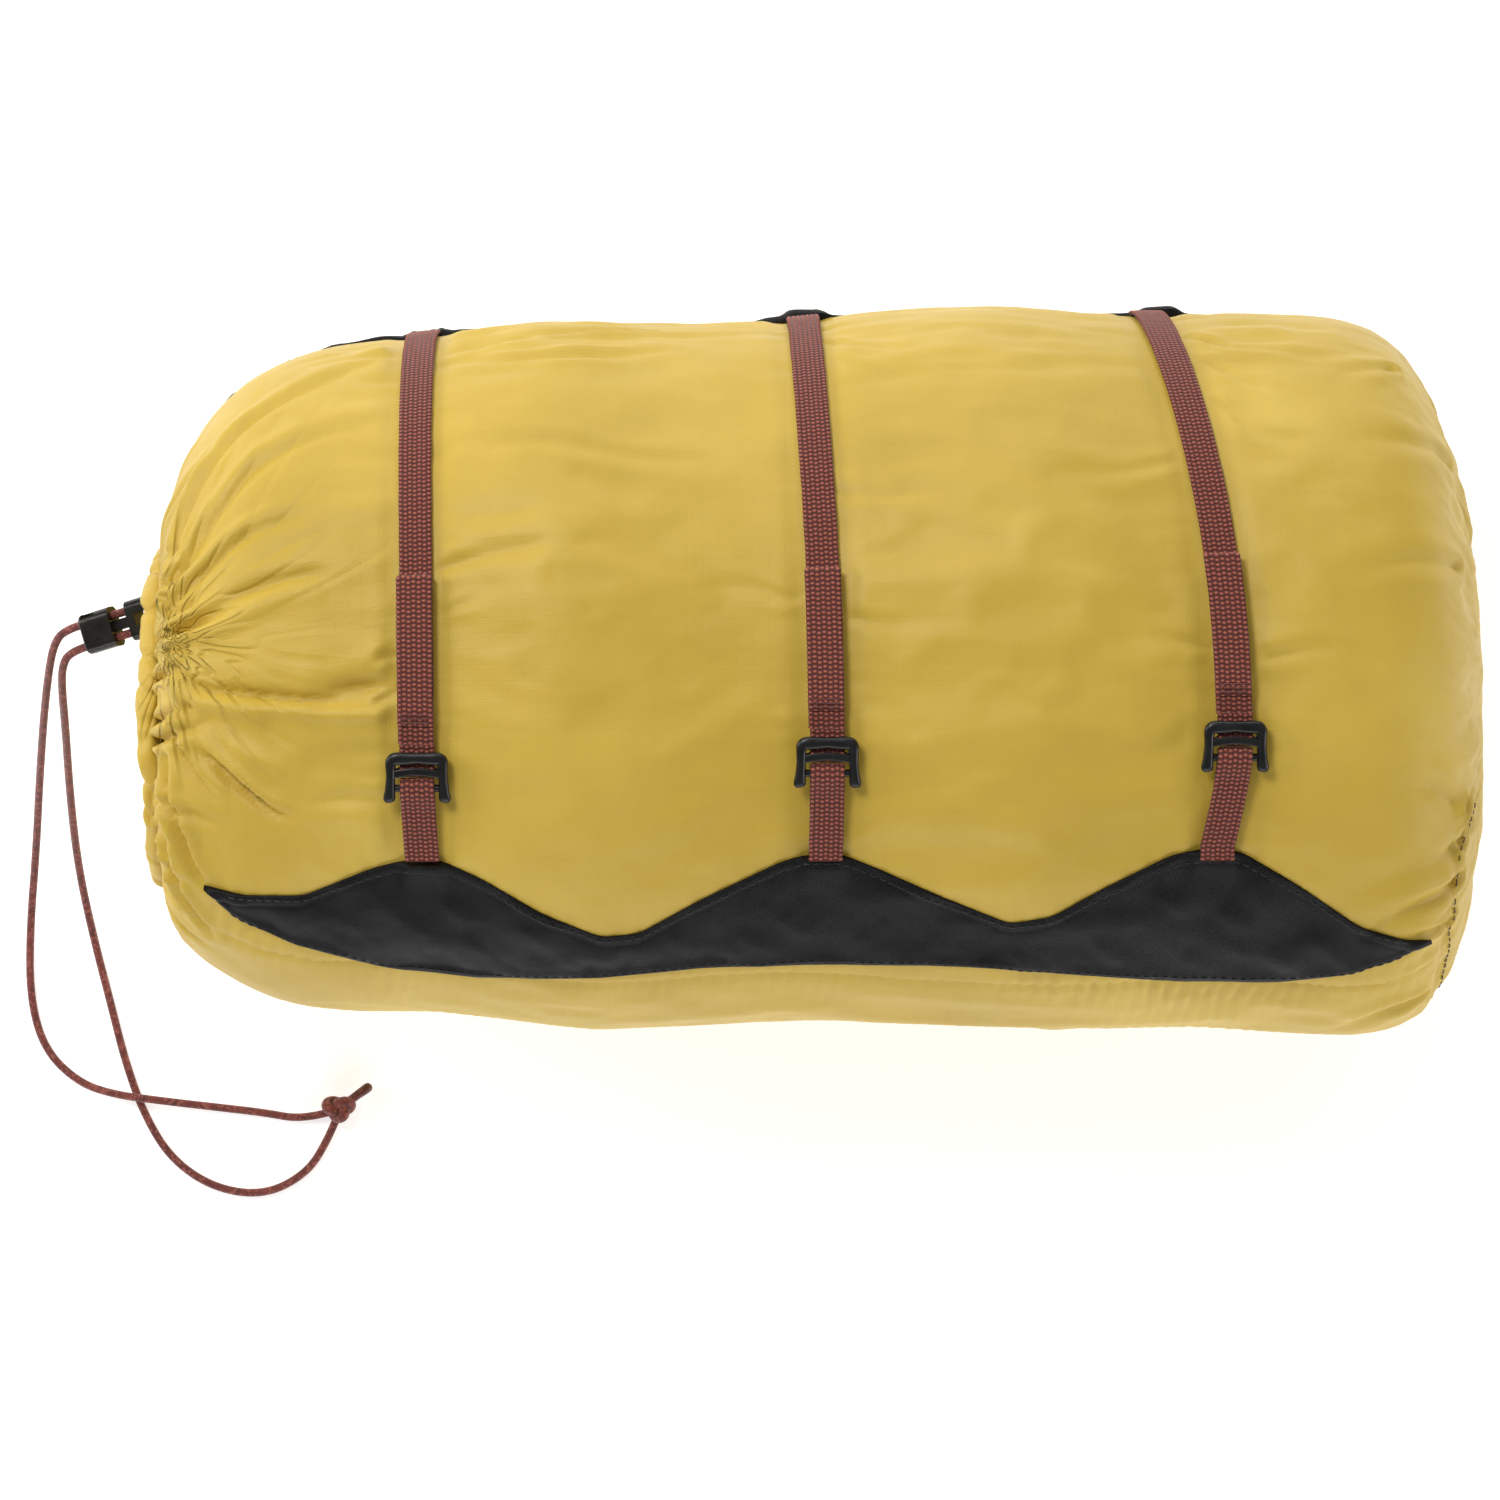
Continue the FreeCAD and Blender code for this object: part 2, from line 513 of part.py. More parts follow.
# ---------------------------------------------------------------- free drawcord
def cord_tube(name, points, radius):
    """A tube along straight runs joined by tangent arcs, each as large as its two runs allow."""
    edges, at, bends = [], points[0], []
    for before, corner, after in zip(points, points[1:], points[2:]):
        first, second = corner - before, after - corner
        turn = first.getAngle(second)
        setback = 0.45 * min(first.Length, second.Length)
        bends.append(setback / math.tan(turn / 2))
        start = corner - first.normalize() * setback
        end = corner + second.normalize() * setback
        inward = (start + end) * 0.5 - corner
        arc_radius = bends[-1]
        middle = corner + inward.normalize() * (arc_radius / math.cos(turn / 2) - arc_radius)
        edges += [Part.LineSegment(at, start).toShape(), Part.Arc(start, middle, end).toShape()]
        at = end
    edges.append(Part.LineSegment(at, points[-1]).toShape())
    path = Part.Wire(edges)
    circle = Part.Wire(Part.makeCircle(radius, points[0], points[1] - points[0]))
    tube = path.makePipeShell([circle], True, False)
    expected = math.pi * radius ** 2 * path.Length
    print(f"  {name}: length {path.Length:.1f}, radii {[round(r, 1) for r in bends]}, "
          f"volume share {tube.Volume / expected:.4f}")
    export(name, tube)


def build_cords():
    exit_s = BARREL_START + BARREL_LENGTH
    for name, q, route in (("drawcord_strand_a", -CORD_SPACING / 2, STRAND_A),
                           ("drawcord_strand_b", CORD_SPACING / 2, STRAND_B)):
        start = [lock_point(exit_s, q), lock_point(exit_s + EXIT_RUN, q)]
        print("  ", name, "starts at", start)
        cord_tube(name, start + [Vector(*p) for p in route], CORD / 2)
    a, b, c = KNOT_SIZE
    knot = Part.makeSphere(1.0).transformGeometry(Matrix(a, 0, 0, 0, 0, b, 0, 0, 0, 0, c, 0, 0, 0, 0, 1))
    knot.translate(KNOT)
    export("drawcord_knot", knot)
    tail = TAIL_END - KNOT
    shaft = Part.makeCylinder(TAIL_RADIUS, tail.Length, KNOT, tail)
    export("drawcord_tail", shaft.fuse(Part.makeSphere(TAIL_RADIUS, TAIL_END)).removeSplitter().cut(knot))


sack = sack_body(0.0, 0.0)
print("sack box", sack.BoundBox)
build_shell()
build_contents()
build_reinforcements(sack_body(PANEL_GAP + PANEL, 10.0).cut(sack_body(PANEL_GAP, 9.0)))
build_straps(sack)
build_mouth()
build_lock()
build_cords()
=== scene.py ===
"""Looks of a packed compression stuff sack, built on its CAD frame. Lengths are in metres."""

import json
import math

import bpy
import numpy as np
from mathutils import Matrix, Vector
from mathutils.bvhtree import BVHTree


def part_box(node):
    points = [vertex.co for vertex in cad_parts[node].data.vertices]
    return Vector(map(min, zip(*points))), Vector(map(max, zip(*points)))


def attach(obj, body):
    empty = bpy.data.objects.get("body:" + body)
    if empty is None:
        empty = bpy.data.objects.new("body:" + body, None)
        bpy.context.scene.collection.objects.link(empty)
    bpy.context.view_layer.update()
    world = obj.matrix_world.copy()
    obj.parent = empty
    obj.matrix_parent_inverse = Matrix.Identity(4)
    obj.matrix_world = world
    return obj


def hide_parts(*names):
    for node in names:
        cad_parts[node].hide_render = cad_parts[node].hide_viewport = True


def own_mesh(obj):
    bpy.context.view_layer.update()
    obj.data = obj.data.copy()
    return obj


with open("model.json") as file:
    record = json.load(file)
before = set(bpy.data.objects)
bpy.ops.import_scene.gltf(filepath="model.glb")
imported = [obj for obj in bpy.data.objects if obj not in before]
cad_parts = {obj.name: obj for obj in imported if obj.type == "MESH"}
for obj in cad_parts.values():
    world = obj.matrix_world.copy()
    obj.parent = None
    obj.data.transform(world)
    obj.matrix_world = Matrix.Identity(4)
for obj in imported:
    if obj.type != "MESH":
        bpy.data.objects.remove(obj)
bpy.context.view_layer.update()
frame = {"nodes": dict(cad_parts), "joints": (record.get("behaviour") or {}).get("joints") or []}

MM = 0.001
rng = np.random.default_rng(11)


# ---------------------------------------------------------------- materials
def linear(r, g, b):
    """A colour given as 0 to 255 display values, as Blender's linear values."""
    values = []
    for c in (r, g, b):
        c = c / 255
        values.append(c / 12.92 if c <= 0.04045 else ((c + 0.055) / 1.055) ** 2.4)
    return (*values, 1.0)


class Shading:
    """A material with short ways to add and join its nodes."""

    def __init__(self, name, roughness, **sockets):
        self.material = bpy.data.materials.new(name)
        self.material.use_nodes = True
        self.tree = self.material.node_tree
        self.shader = self.tree.nodes["Principled BSDF"]
        self.shader.inputs["Roughness"].default_value = roughness
        for socket, value in sockets.items():
            self.shader.inputs[socket.replace("_", " ")].default_value = value

    def node(self, kind, **values):
        node = self.tree.nodes.new(kind)
        for key, value in values.items():
            setattr(node, key, value)
        return node

    def join(self, source, target, socket):
        self.tree.links.new(source, target.inputs[socket])

    def cloth_map(self):
        return self.node("ShaderNodeUVMap", uv_map="cloth").outputs["UV"]

    def place(self):
        return self.node("ShaderNodeTexCoord").outputs["Object"]

    def noise(self, vector, scale, detail=3.0, stretch=None):
        if stretch is not None:
            mapping = self.node("ShaderNodeMapping")
            mapping.inputs["Scale"].default_value = stretch
            self.join(vector, mapping, "Vector")
            vector = mapping.outputs["Vector"]
        node = self.node("ShaderNodeTexNoise")
        node.inputs["Scale"].default_value = scale
        node.inputs["Detail"].default_value = detail
        self.join(vector, node, "Vector")
        return node.outputs["Fac"]

    def math(self, operation, a, b=None):
        node = self.node("ShaderNodeMath", operation=operation)
        for k, value in enumerate((a, b)):
            if value is None:
                continue
            if isinstance(value, (int, float)):
                node.inputs[k].default_value = value
            else:
                self.join(value, node, k)
        return node.outputs[0]

    def vector_math(self, operation, vector, other=None):
        node = self.node("ShaderNodeVectorMath", operation=operation)
        self.join(vector, node, 0)
        if other is not None:
            node.inputs[1].default_value = other
        return node.outputs

    def split(self, vector):
        """The first two parts of a vector."""
        node = self.node("ShaderNodeSeparateXYZ")
        self.join(vector, node, "Vector")
        return node.outputs[0], node.outputs[1]

    def wave(self, value, pitch, turn=0.0):
        """A sine from 0 to 1 that repeats every pitch metres."""
        angle = self.math("ADD", self.math("MULTIPLY", value, 2 * math.pi / pitch), turn)
        return self.math("ADD", self.math("MULTIPLY", self.math("SINE", angle), 0.5), 0.5)

    def colours(self, factor, stops):
        """A ramp of (place, display colour) stops."""
        ramp = self.node("ShaderNodeValToRGB")
        elements = ramp.color_ramp.elements
        while len(elements) < len(stops):
            elements.new(0.5)
        for element, (place, colour) in zip(elements, stops):
            element.position = place
            element.color = linear(*colour)
        self.join(factor, ramp, "Fac")
        return ramp.outputs["Color"]

    def blend(self, factor, a, b):
        """A mix of two colours, each a socket or a display colour."""
        node = self.node("ShaderNodeMix", data_type="RGBA")
        for k, value in ((0, factor), (6, a), (7, b)):
            if isinstance(value, tuple):
                node.inputs[k].default_value = linear(*value)
            else:
                self.join(value, node, k)
        return node.outputs[2]

    def base(self, colour):
        self.join(colour, self.shader, "Base Color")

    def rough(self, factor, low, high):
        node = self.node("ShaderNodeMapRange")
        node.inputs["To Min"].default_value = low
        node.inputs["To Max"].default_value = high
        self.join(factor, node, "Value")
        self.join(node.outputs["Result"], self.shader, "Roughness")

    def bumps(self, *layers):
        """Layers of (height, metres): the last one goes to the shader."""
        last = None
        for height, distance in layers:
            node = self.node("ShaderNodeBump")
            node.inputs["Strength"].default_value = 1.0
            node.inputs["Distance"].default_value = distance
            self.join(height, node, "Height")
            if last is not None:
                self.join(last, node, "Normal")
            last = node.outputs["Normal"]
        self.join(last, self.shader, "Normal")


MADE = {}


def once(maker):
    """The same material each time that it is asked for."""
    def get(*words):
        key = (maker.__name__, *words)
        if key not in MADE:
            MADE[key] = maker(*words)
        return MADE[key]
    return get


GATHER_POINT = (-0.187, 0.008, 0.118)      # where the drawn-up fabric's creases run together
CREASE_REACH = 0.105                       # how far they run from there


def drawn_creases(s, place):
    """Sharp little creases that spread from the place where the cord draws the fabric up, as a height."""
    away = s.vector_math("SUBTRACT", place, GATHER_POINT)["Vector"]
    plan = s.vector_math("MULTIPLY", away, (1.0, 1.0, 0.12))["Vector"]
    ray = s.vector_math("NORMALIZE", plan)["Vector"]
    reach = s.vector_math("LENGTH", away)["Value"]
    streak = s.math("ABSOLUTE", s.math("SUBTRACT", s.noise(ray, 6.5, 0.0), 0.5))
    valley = s.math("MINIMUM", s.math("MULTIPLY", streak, 9.0), 1.0)
    share = s.math("DIVIDE", reach, CREASE_REACH)
    near = s.math("MAXIMUM", s.math("SUBTRACT", 1.0, share), 0.0)
    start = s.math("MAXIMUM", s.math("SUBTRACT", s.math("MULTIPLY", share, 4.0), 0.7), 0.0)
    start = s.math("MINIMUM", start, 1.0)
    patch = s.noise(place, 24.0, 1.0)
    return s.math("MULTIPLY", s.math("MULTIPLY", s.math("MULTIPLY", valley, start), near), patch)


@once
def shell_material():
    """Thin coated nylon: a fine weave with a faint stronger grid, soft sheen and small crumples."""
    s = Shading("shell_nylon", 0.46, Sheen_Weight=0.08, Sheen_Roughness=0.4, Specular_IOR_Level=0.42)
    s.shader.inputs["Sheen Tint"].default_value = linear(250, 226, 150)
    across, along = s.split(s.cloth_map())
    place = s.place()
    cloud = s.noise(place, 16.0, 4.0)
    wear = s.noise(place, 70.0, 5.0)
    weave = s.math("MULTIPLY", s.wave(across, 0.55 * MM), s.wave(along, 0.62 * MM))
    lines = [s.math("POWER", s.wave(way, pitch * MM), 40.0) for way, pitch in ((across, 4.6), (along, 4.8))]
    grid = s.math("MAXIMUM", *lines)
    colour = s.colours(cloud, [(0.3, (194, 162, 54)), (0.5, (204, 171, 62)), (0.72, (214, 182, 73))])
    colour = s.blend(s.math("MULTIPLY", s.math("POWER", wear, 2.0), 0.30), colour, (186, 154, 62))
    colour = s.blend(s.math("MULTIPLY", grid, 0.05), colour, (182, 150, 60))
    colour = s.blend(s.math("MULTIPLY", weave, 0.10), colour, (226, 198, 104))
    s.base(colour)
    s.rough(wear, 0.40, 0.56)
    crumple = s.noise(place, 95.0, 4.0, (0.6, 1.4, 1.0))
    slack = s.noise(place, 30.0, 2.0, (0.5, 1.3, 1.0))
    s.bumps((slack, 1.3 * MM), (drawn_creases(s, place), 1.9 * MM), (crumple, 0.34 * MM), (grid, 0.02 * MM),
            (weave, 0.03 * MM))
    return s.material


@once
def panel_material():
    """Heavier black fabric with a diagonal twill and a dull shine."""
    s = Shading("panel_twill", 0.5, Specular_IOR_Level=0.2)
    across, along = s.split(s.cloth_map())
    place = s.place()
    twill = s.wave(s.math("ADD", across, along), 0.75 * MM)
    threads = s.math("MULTIPLY", twill, s.wave(s.math("SUBTRACT", across, along), 0.5 * MM))
    rub = s.noise(place, 60.0, 5.0)
    colour = s.colours(rub, [(0.35, (6, 5, 7)), (0.55, (9, 8, 10)), (0.75, (17, 15, 18))])
    s.base(s.blend(s.math("MULTIPLY", threads, 0.25), colour, (30, 28, 33)))
    s.rough(rub, 0.36, 0.56)
    s.bumps((s.noise(place, 45.0, 3.0), 1.0 * MM), (twill, 0.06 * MM), (threads, 0.05 * MM))
    return s.material


@once
def webbing_material():
    """Flat woven webbing: dark red-brown, lighter on the crown of each bead and darkest between the beads.
    The lighter crowns are partly the weave's own lighter threads and partly a painted highlight, and the dark
    between the beads is painted shade.
    """
    s = Shading("webbing", 0.72, Sheen_Weight=0.18, Sheen_Roughness=0.5, Specular_IOR_Level=0.3)
    cloth = s.cloth_map()
    across, along = s.split(cloth)
    place = s.place()
    columns = s.math("MULTIPLY", across, BEAD_COLUMNS / WEB_WIDTH)
    odd = s.math("GREATER_THAN", s.math("MODULO", s.math("ADD", columns, 20.0), 2.0), 1.0)
    lift = s.wave(s.math("ADD", along, s.math("MULTIPLY", odd, BEAD_SHIFT)), BEAD)
    middle = s.math("POWER", s.math("ABSOLUTE", s.math("SINE", s.math("MULTIPLY", columns, math.pi))), 0.8)
    bead = s.math("MULTIPLY", lift, middle)
    worn = s.noise(place, 220.0, 4.0)
    fibre = s.noise(cloth, 2600.0, 2.0, (1.0, 0.25, 1.0))
    # The colour follows each bead's height: the darkest stop is painted shade in the hollows between beads,
    # and the top stop is partly a painted highlight on the crowns.
    colour = s.colours(bead, [(0.05, (70, 29, 24)), (0.35, (112, 53, 43)), (0.6, (142, 71, 57)),
                              (0.9, (184, 108, 86))])
    s.base(s.blend(s.math("MULTIPLY", worn, 0.35), colour, (100, 46, 38)))
    s.rough(fibre, 0.62, 0.85)
    s.bumps((bead, 0.14 * MM), (fibre, 0.05 * MM), (worn, 0.08 * MM))
    return s.material


@once
def cord_material():
    """A round braid with lighter flecks."""
    s = Shading("cord_braid", 0.66, Sheen_Weight=0.3, Sheen_Roughness=0.5, Specular_IOR_Level=0.35)
    place = s.place()
    strand = s.noise(place, 900.0, 1.0, (1.0, 1.0, 0.6))
    fleck = s.math("GREATER_THAN", strand, 0.58)
    worn = s.noise(place, 320.0, 4.0)
    colour = s.colours(worn, [(0.3, (84, 36, 32)), (0.5, (112, 52, 46)), (0.75, (134, 66, 58))])
    s.base(s.blend(s.math("MULTIPLY", fleck, 0.55), colour, (168, 98, 86)))
    s.rough(worn, 0.55, 0.78)
    s.bumps((strand, 0.12 * MM), (worn, 0.08 * MM))
    return s.material


@once
def melted_material():
    """The cord's ends, melted hard together."""
    s = Shading("cord_end", 0.35, Coat_Weight=0.3, Coat_Roughness=0.2)
    grain = s.noise(s.place(), 600.0, 4.0)
    s.base(s.colours(grain, [(0.35, (70, 30, 27)), (0.7, (120, 58, 50))]))
    s.rough(grain, 0.25, 0.5)
    s.bumps((grain, 0.2 * MM),)
    return s.material


@once
def plastic_material(name, dark, light, low, high):
    """Moulded plastic with a fine grain, faint flow marks and rubbed patches."""
    s = Shading(name, 0.3, Specular_IOR_Level=0.4, Coat_Weight=0.06, Coat_Roughness=0.25)
    place = s.place()
    grain = s.noise(place, 3200.0, 2.0)
    rub = s.noise(place, 240.0, 5.0)
    flow = s.noise(place, 90.0, 3.0, (1.0, 0.3, 1.0))
    s.base(s.colours(rub, [(0.35, dark), (0.7, light)]))
    s.rough(s.math("MULTIPLY", s.math("ADD", rub, flow), 0.5), low, high)
    s.bumps((flow, 0.12 * MM), (rub, 0.05 * MM), (grain, 0.025 * MM))
    return s.material


@once
def thread_material(name, colour):
    """Sewing thread with its twist."""
    s = Shading(name, 0.55, Sheen_Weight=0.3, Sheen_Roughness=0.4)
    twist = s.noise(s.place(), 2600.0, 2.0)
    s.base(s.blend(s.math("MULTIPLY", twist, 0.5), colour, tuple(int(c * 0.7) for c in colour)))
    s.rough(twist, 0.45, 0.7)
    s.bumps((twist, 0.08 * MM),)
    return s.material


@once
def steel_material():
    s = Shading("spring_steel", 0.28, Metallic=1.0)
    drawn = s.noise(s.place(), 900.0, 3.0, (1.0, 1.0, 0.2))
    s.base(s.colours(drawn, [(0.3, (150, 150, 152)), (0.7, (196, 196, 198))]))
    s.rough(drawn, 0.2, 0.42)
    s.bumps((drawn, 0.02 * MM),)
    return s.material


def add_object(name, data):
    """A new object in the scene, for a mesh, a curve, a camera or a light."""
    made = bpy.data.objects.new(name, data)
    bpy.context.scene.collection.objects.link(made)
    return made


# ---------------------------------------------------------------- camera
SENSOR_WIDTH = 36.0                     # in mm
CAMERA_TARGET = (-0.0179, -0.0230)      # the point of the object that the view is centred on
VIEW_HEIGHT = 1.8                       # above the middle of the sack's height
VIEW_WIDTH = 0.45                       # width of the view at the middle of the sack's height


def make_camera():
    """Straight above the sack, as a flat lay is seen."""
    middle = (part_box("bottom_fabric_panel")[0][2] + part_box("buckle_2")[1][2]) / 2
    data = bpy.data.cameras.new("camera")
    data.sensor_width = SENSOR_WIDTH
    data.lens = SENSOR_WIDTH * VIEW_HEIGHT / VIEW_WIDTH
    camera = add_object("camera", data)
    camera.location = (CAMERA_TARGET[0], CAMERA_TARGET[1], middle + VIEW_HEIGHT)
    bpy.context.scene.camera = camera


# ---------------------------------------------------------------- cords
CORD = 2.5 * MM
LOCK_START = Vector((-192.8, 17.5, 121.0)) * MM
LOCK_AXIS = Vector((-0.91, -0.265, -0.31)).normalized()
LOCK_END = 24.2 * MM        # from the lock's start to the face that the strands leave
EXIT_RUN = 6.6 * MM         # the straight part of each strand outside that face
CORD_SPACING = 6.6 * MM
FLOOR_Z = 1.3               # height of a cord that lies on the floor, in mm
KNOT = Vector((-147.4, -135.8, 4.3)) * MM
TAIL_END = Vector((-137.6, -128.9, 2.6)) * MM
STRAND_A = [
    (-225.2, 8.4, 106.8), (-227.8, 1.3, 97.0), (-231.5, -11.5, 78.0), (-236.5, -31.0, 47.0),
    (-241.0, -54.5, 18.5), (-244.8, -79.0, 2.6), (-245.0, -101.0, FLOOR_Z), (-240.5, -117.5, FLOOR_Z),
    (-229.5, -128.0, 1.8), (-217.5, -131.6, 4.7), (-203.5, -133.4, 4.7), (-187.5, -135.5, FLOOR_Z),
    (-171.5, -137.3, FLOOR_Z), (-158.8, -139.6, 1.7), (-150.0, -137.0, 2.4),
]
STRAND_B = [
    (-222.8, 1.8, 106.8), (-224.0, -5.0, 96.5), (-225.2, -16.5, 76.5), (-227.5, -36.0, 45.0),
    (-228.2, -59.0, 16.5), (-224.9, -82.0, 2.0), (-219.5, -103.0, FLOOR_Z), (-215.0, -121.0, FLOOR_Z),
    (-209.0, -138.0, FLOOR_Z), (-200.5, -152.0, FLOOR_Z), (-187.0, -161.2, FLOOR_Z),
    (-171.0, -163.5, FLOOR_Z), (-157.5, -156.5, FLOOR_Z), (-150.8, -145.5, 1.5), (-148.2, -139.0, 2.4),
]


def lock_point(s, q):
    """A point s along the lock's axis and q to its side."""
    side = Vector((0, 0, 1)).cross(LOCK_AXIS).normalized()
    return LOCK_START + LOCK_AXIS * s + side * q


def spline_curve(name, points, radius, around=4, steps=8, order=3, loop=False):
    """A round cord whose line is one smooth spline with these control points, open or closed in a loop."""
    curve = bpy.data.curves.new(name, "CURVE")
    curve.dimensions = "3D"
    curve.bevel_depth = radius
    curve.bevel_resolution = around
    curve.resolution_u = steps
    curve.use_fill_caps = not loop
    spline = curve.splines.new("NURBS")
    spline.points.add(len(points) - 1)
    for place, point in zip(points, spline.points):
        point.co = (*place, 1.0)
    spline.order_u = order
    spline.use_endpoint_u = not loop
    spline.use_cyclic_u = loop
    return add_object(name, curve)


def make_strand(name, node, q, route):
    start = [lock_point(LOCK_END, q), lock_point(LOCK_END + EXIT_RUN, q)]
    piece = spline_curve(name, start + [Vector(p) * MM for p in route], CORD / 2)
    piece.data.materials.append(cord_material())
    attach(piece, "sack")
    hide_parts(node)


def knot_line():
    """The centre line of an overhand knot pulled tight, through the middle of KNOT."""
    points = []
    count = 96
    for k in range(count):
        t = 2 * math.pi * k / count
        x = (math.sin(t) + 2 * math.sin(2 * t)) * 1.35
        y = (math.cos(t) - 2 * math.cos(2 * t)) * 1.0
        z = -math.sin(3 * t) * 1.35
        points.append(KNOT + Vector((x, y, z)) * MM)
    return points


def make_knot():
    """The two strands tied together in one overhand knot, with their ends melted into a short tail."""
    knot = spline_curve("knot", knot_line(), 1.75 * MM, around=5, steps=2, order=4, loop=True)
    knot.data.materials.append(cord_material())
    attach(knot, "sack")
    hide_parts("drawcord_knot")
    along = (TAIL_END - KNOT).normalized()
    stops = [(2.0, 1.5), (5.0, 1.45), (7.5, 1.5), (9.5, 1.6), (11.0, 1.6), (11.9, 1.35), (12.4, 0.8),
             (12.6, 0.05)]
    tail = lathe("melted_tail", KNOT, along, [(s * MM, r * MM) for s, r in stops], 20)
    roughen(tail, 0.12 * MM, 1.6 * MM)
    tail.data.materials.append(melted_material())
    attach(tail, "sack")
    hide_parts("drawcord_tail")
    return knot, tail


# ---------------------------------------------------------------- mesh helpers
def mesh_object(name, verts, faces, smooth=True):
    mesh = bpy.data.meshes.new(name)
    mesh.from_pydata([tuple(v) for v in verts], [], [tuple(f) for f in faces])
    mesh.update()
    if smooth:
        mesh.polygons.foreach_set("use_smooth", [True] * len(mesh.polygons))
    return add_object(name, mesh)


def set_uv(piece, uv):
    """A UV map named cloth, in metres along the piece's own surface, from one pair for each vertex."""
    layer = piece.data.uv_layers.new(name="cloth")
    loops = np.empty(len(piece.data.loops), dtype=np.int32)
    piece.data.loops.foreach_get("vertex_index", loops)
    layer.data.foreach_set("uv", np.asarray(uv, float)[loops].astype(np.float32).ravel())


def grid_faces(rows, columns, close=True):
    """Faces between the rows of a grid, whose columns may close on themselves."""
    faces = []
    for i in range(rows - 1):
        for j in range(columns if close else columns - 1):
            k = (j + 1) % columns
            faces.append((i * columns + j, i * columns + k, (i + 1) * columns + k, (i + 1) * columns + j))
    return faces


def tube_faces(rings, around, first=0):
    """Faces of a tube whose vertices start at first, with one face over each end."""
    faces = grid_faces(rings, around)
    faces.append(tuple(reversed(range(around))))
    faces.append(tuple((rings - 1) * around + k for k in range(around)))
    return [tuple(first + k for k in face) for face in faces]


def grid_tree(grid):
    """A closed grid's surface, for casting rays at."""
    return BVHTree.FromPolygons([Vector(p) for p in grid.reshape(-1, 3)], grid_faces(*grid.shape[:2]))


def lathe(name, foot, axis, profile, count):
    """A round body about an axis, from (distance, radius) pairs."""
    side = axis.orthogonal().normalized()
    other = axis.cross(side)
    verts = []
    for s, r in profile:
        for k in range(count):
            angle = 2 * math.pi * k / count
            verts.append(foot + axis * s + side * (r * math.cos(angle)) + other * (r * math.sin(angle)))
    return mesh_object(name, verts, tube_faces(len(profile), count))


def unit(rows):
    """The same vectors, each with a length of one."""
    return rows / (np.linalg.norm(rows, axis=-1, keepdims=True) + 1e-12)


def distances_along(line):
    """Each point's distance along the line from its start."""
    steps = np.linalg.norm(np.diff(line, axis=0), axis=1)
    return np.concatenate([[0], np.cumsum(steps)])


def rows_at(at, distances, rows):
    """Rows of three numbers, read between the rows given at those distances."""
    return np.stack([np.interp(at, distances, rows[:, k]) for k in range(3)], axis=1)


def ease(t):
    """From 0 to 1 with a soft start and a soft end."""
    return t * t * (3 - 2 * t)


def bell(x, width):
    """1 where x is 0, and less away from there."""
    return math.exp(-(x / width) ** 2)


def value_noise(points, size, seed):
    """Smooth noise from -1 to 1 at each point, with bumps of about that size."""
    cells = np.asarray(points) / size
    base = np.floor(cells).astype(np.int64)
    t = ease(cells - base)
    total = np.zeros(len(cells))
    for corner in range(8):
        step = np.array([(corner >> 2) & 1, (corner >> 1) & 1, corner & 1])
        n = base + step
        h = n[:, 0] * 374761393 + n[:, 1] * 668265263 + n[:, 2] * 2147483647 + seed * 974634777
        h = (h ^ (h >> 13)) * 1274126177
        value = ((h ^ (h >> 16)) & 0xFFFF) / 32767.5 - 1
        weight = np.prod(np.where(step == 1, t, 1 - t), axis=1)
        total += value * weight
    return total


def grid_noise(grid, size, seed, stretch=(1, 1, 1)):
    """Smooth noise at each point of a grid. A stretch below 1 draws the bumps out along that axis."""
    return value_noise(grid.reshape(-1, 3) * stretch, size, seed).reshape(grid.shape[:2])


def roughen(piece, amount, size, seed=3):
    """Moves a mesh's vertices along their normals by smooth noise."""
    mesh = piece.data
    co = np.array([v.co for v in mesh.vertices])
    normal = np.array([v.normal for v in mesh.vertices])
    co += normal * (value_noise(co, size, seed) * amount)[:, None]
    mesh.vertices.foreach_set("co", co.astype(np.float32).ravel())
    mesh.update()


# ---------------------------------------------------------------- the sack's surface
SHELL_NODES = ("top_fabric_panel", "bottom_fabric_panel", "end_panel")
ROW_STEP = 3.1 * MM
COLUMNS = 212
MOUTH_TURN = -0.112      # the mouth's end of the surface is swept about this x
END_TURN = 0.118         # and the closed end about this one
MOUTH_TILT = 33.5        # where the surface starts, in degrees from the -X direction
MID_Z = 0.091            # the middle of the tube's height
MOUTH_Y = -0.013         # the mouth's middle
MOUTH_Z = 0.092


def cad_tree(names):
    """The surfaces of these CAD nodes together, for casting rays at."""
    verts, polygons = [], []
    for name in names:
        mesh = frame["nodes"][name].data
        offset = len(verts)
        verts += [v.co.copy() for v in mesh.vertices]
        polygons += [tuple(i + offset for i in p.vertices) for p in mesh.polygons]
    return BVHTree.FromPolygons(verts, polygons)


def sweep_rows():
    """Where each row's rays start and how they tilt: (x, y, z, degrees from -X)."""
    rows = []
    mouth_count = 38
    for k in range(mouth_count):
        share = k / mouth_count
        tilt = MOUTH_TILT + (90 - MOUTH_TILT) * share
        rows.append((MOUTH_TURN, MOUTH_Y * (1 - share), MOUTH_Z + (MID_Z - MOUTH_Z) * share, tilt))
    tube_count = round((END_TURN - MOUTH_TURN) / ROW_STEP)
    for k in range(tube_count):
        rows.append((MOUTH_TURN + (END_TURN - MOUTH_TURN) * k / tube_count, 0.0, MID_Z, 90))
    end_count = 50
    for k in range(end_count):
        share = k / end_count
        rows.append((END_TURN, -0.008 * share, MID_Z, 90 + 88.5 * share))
    return rows


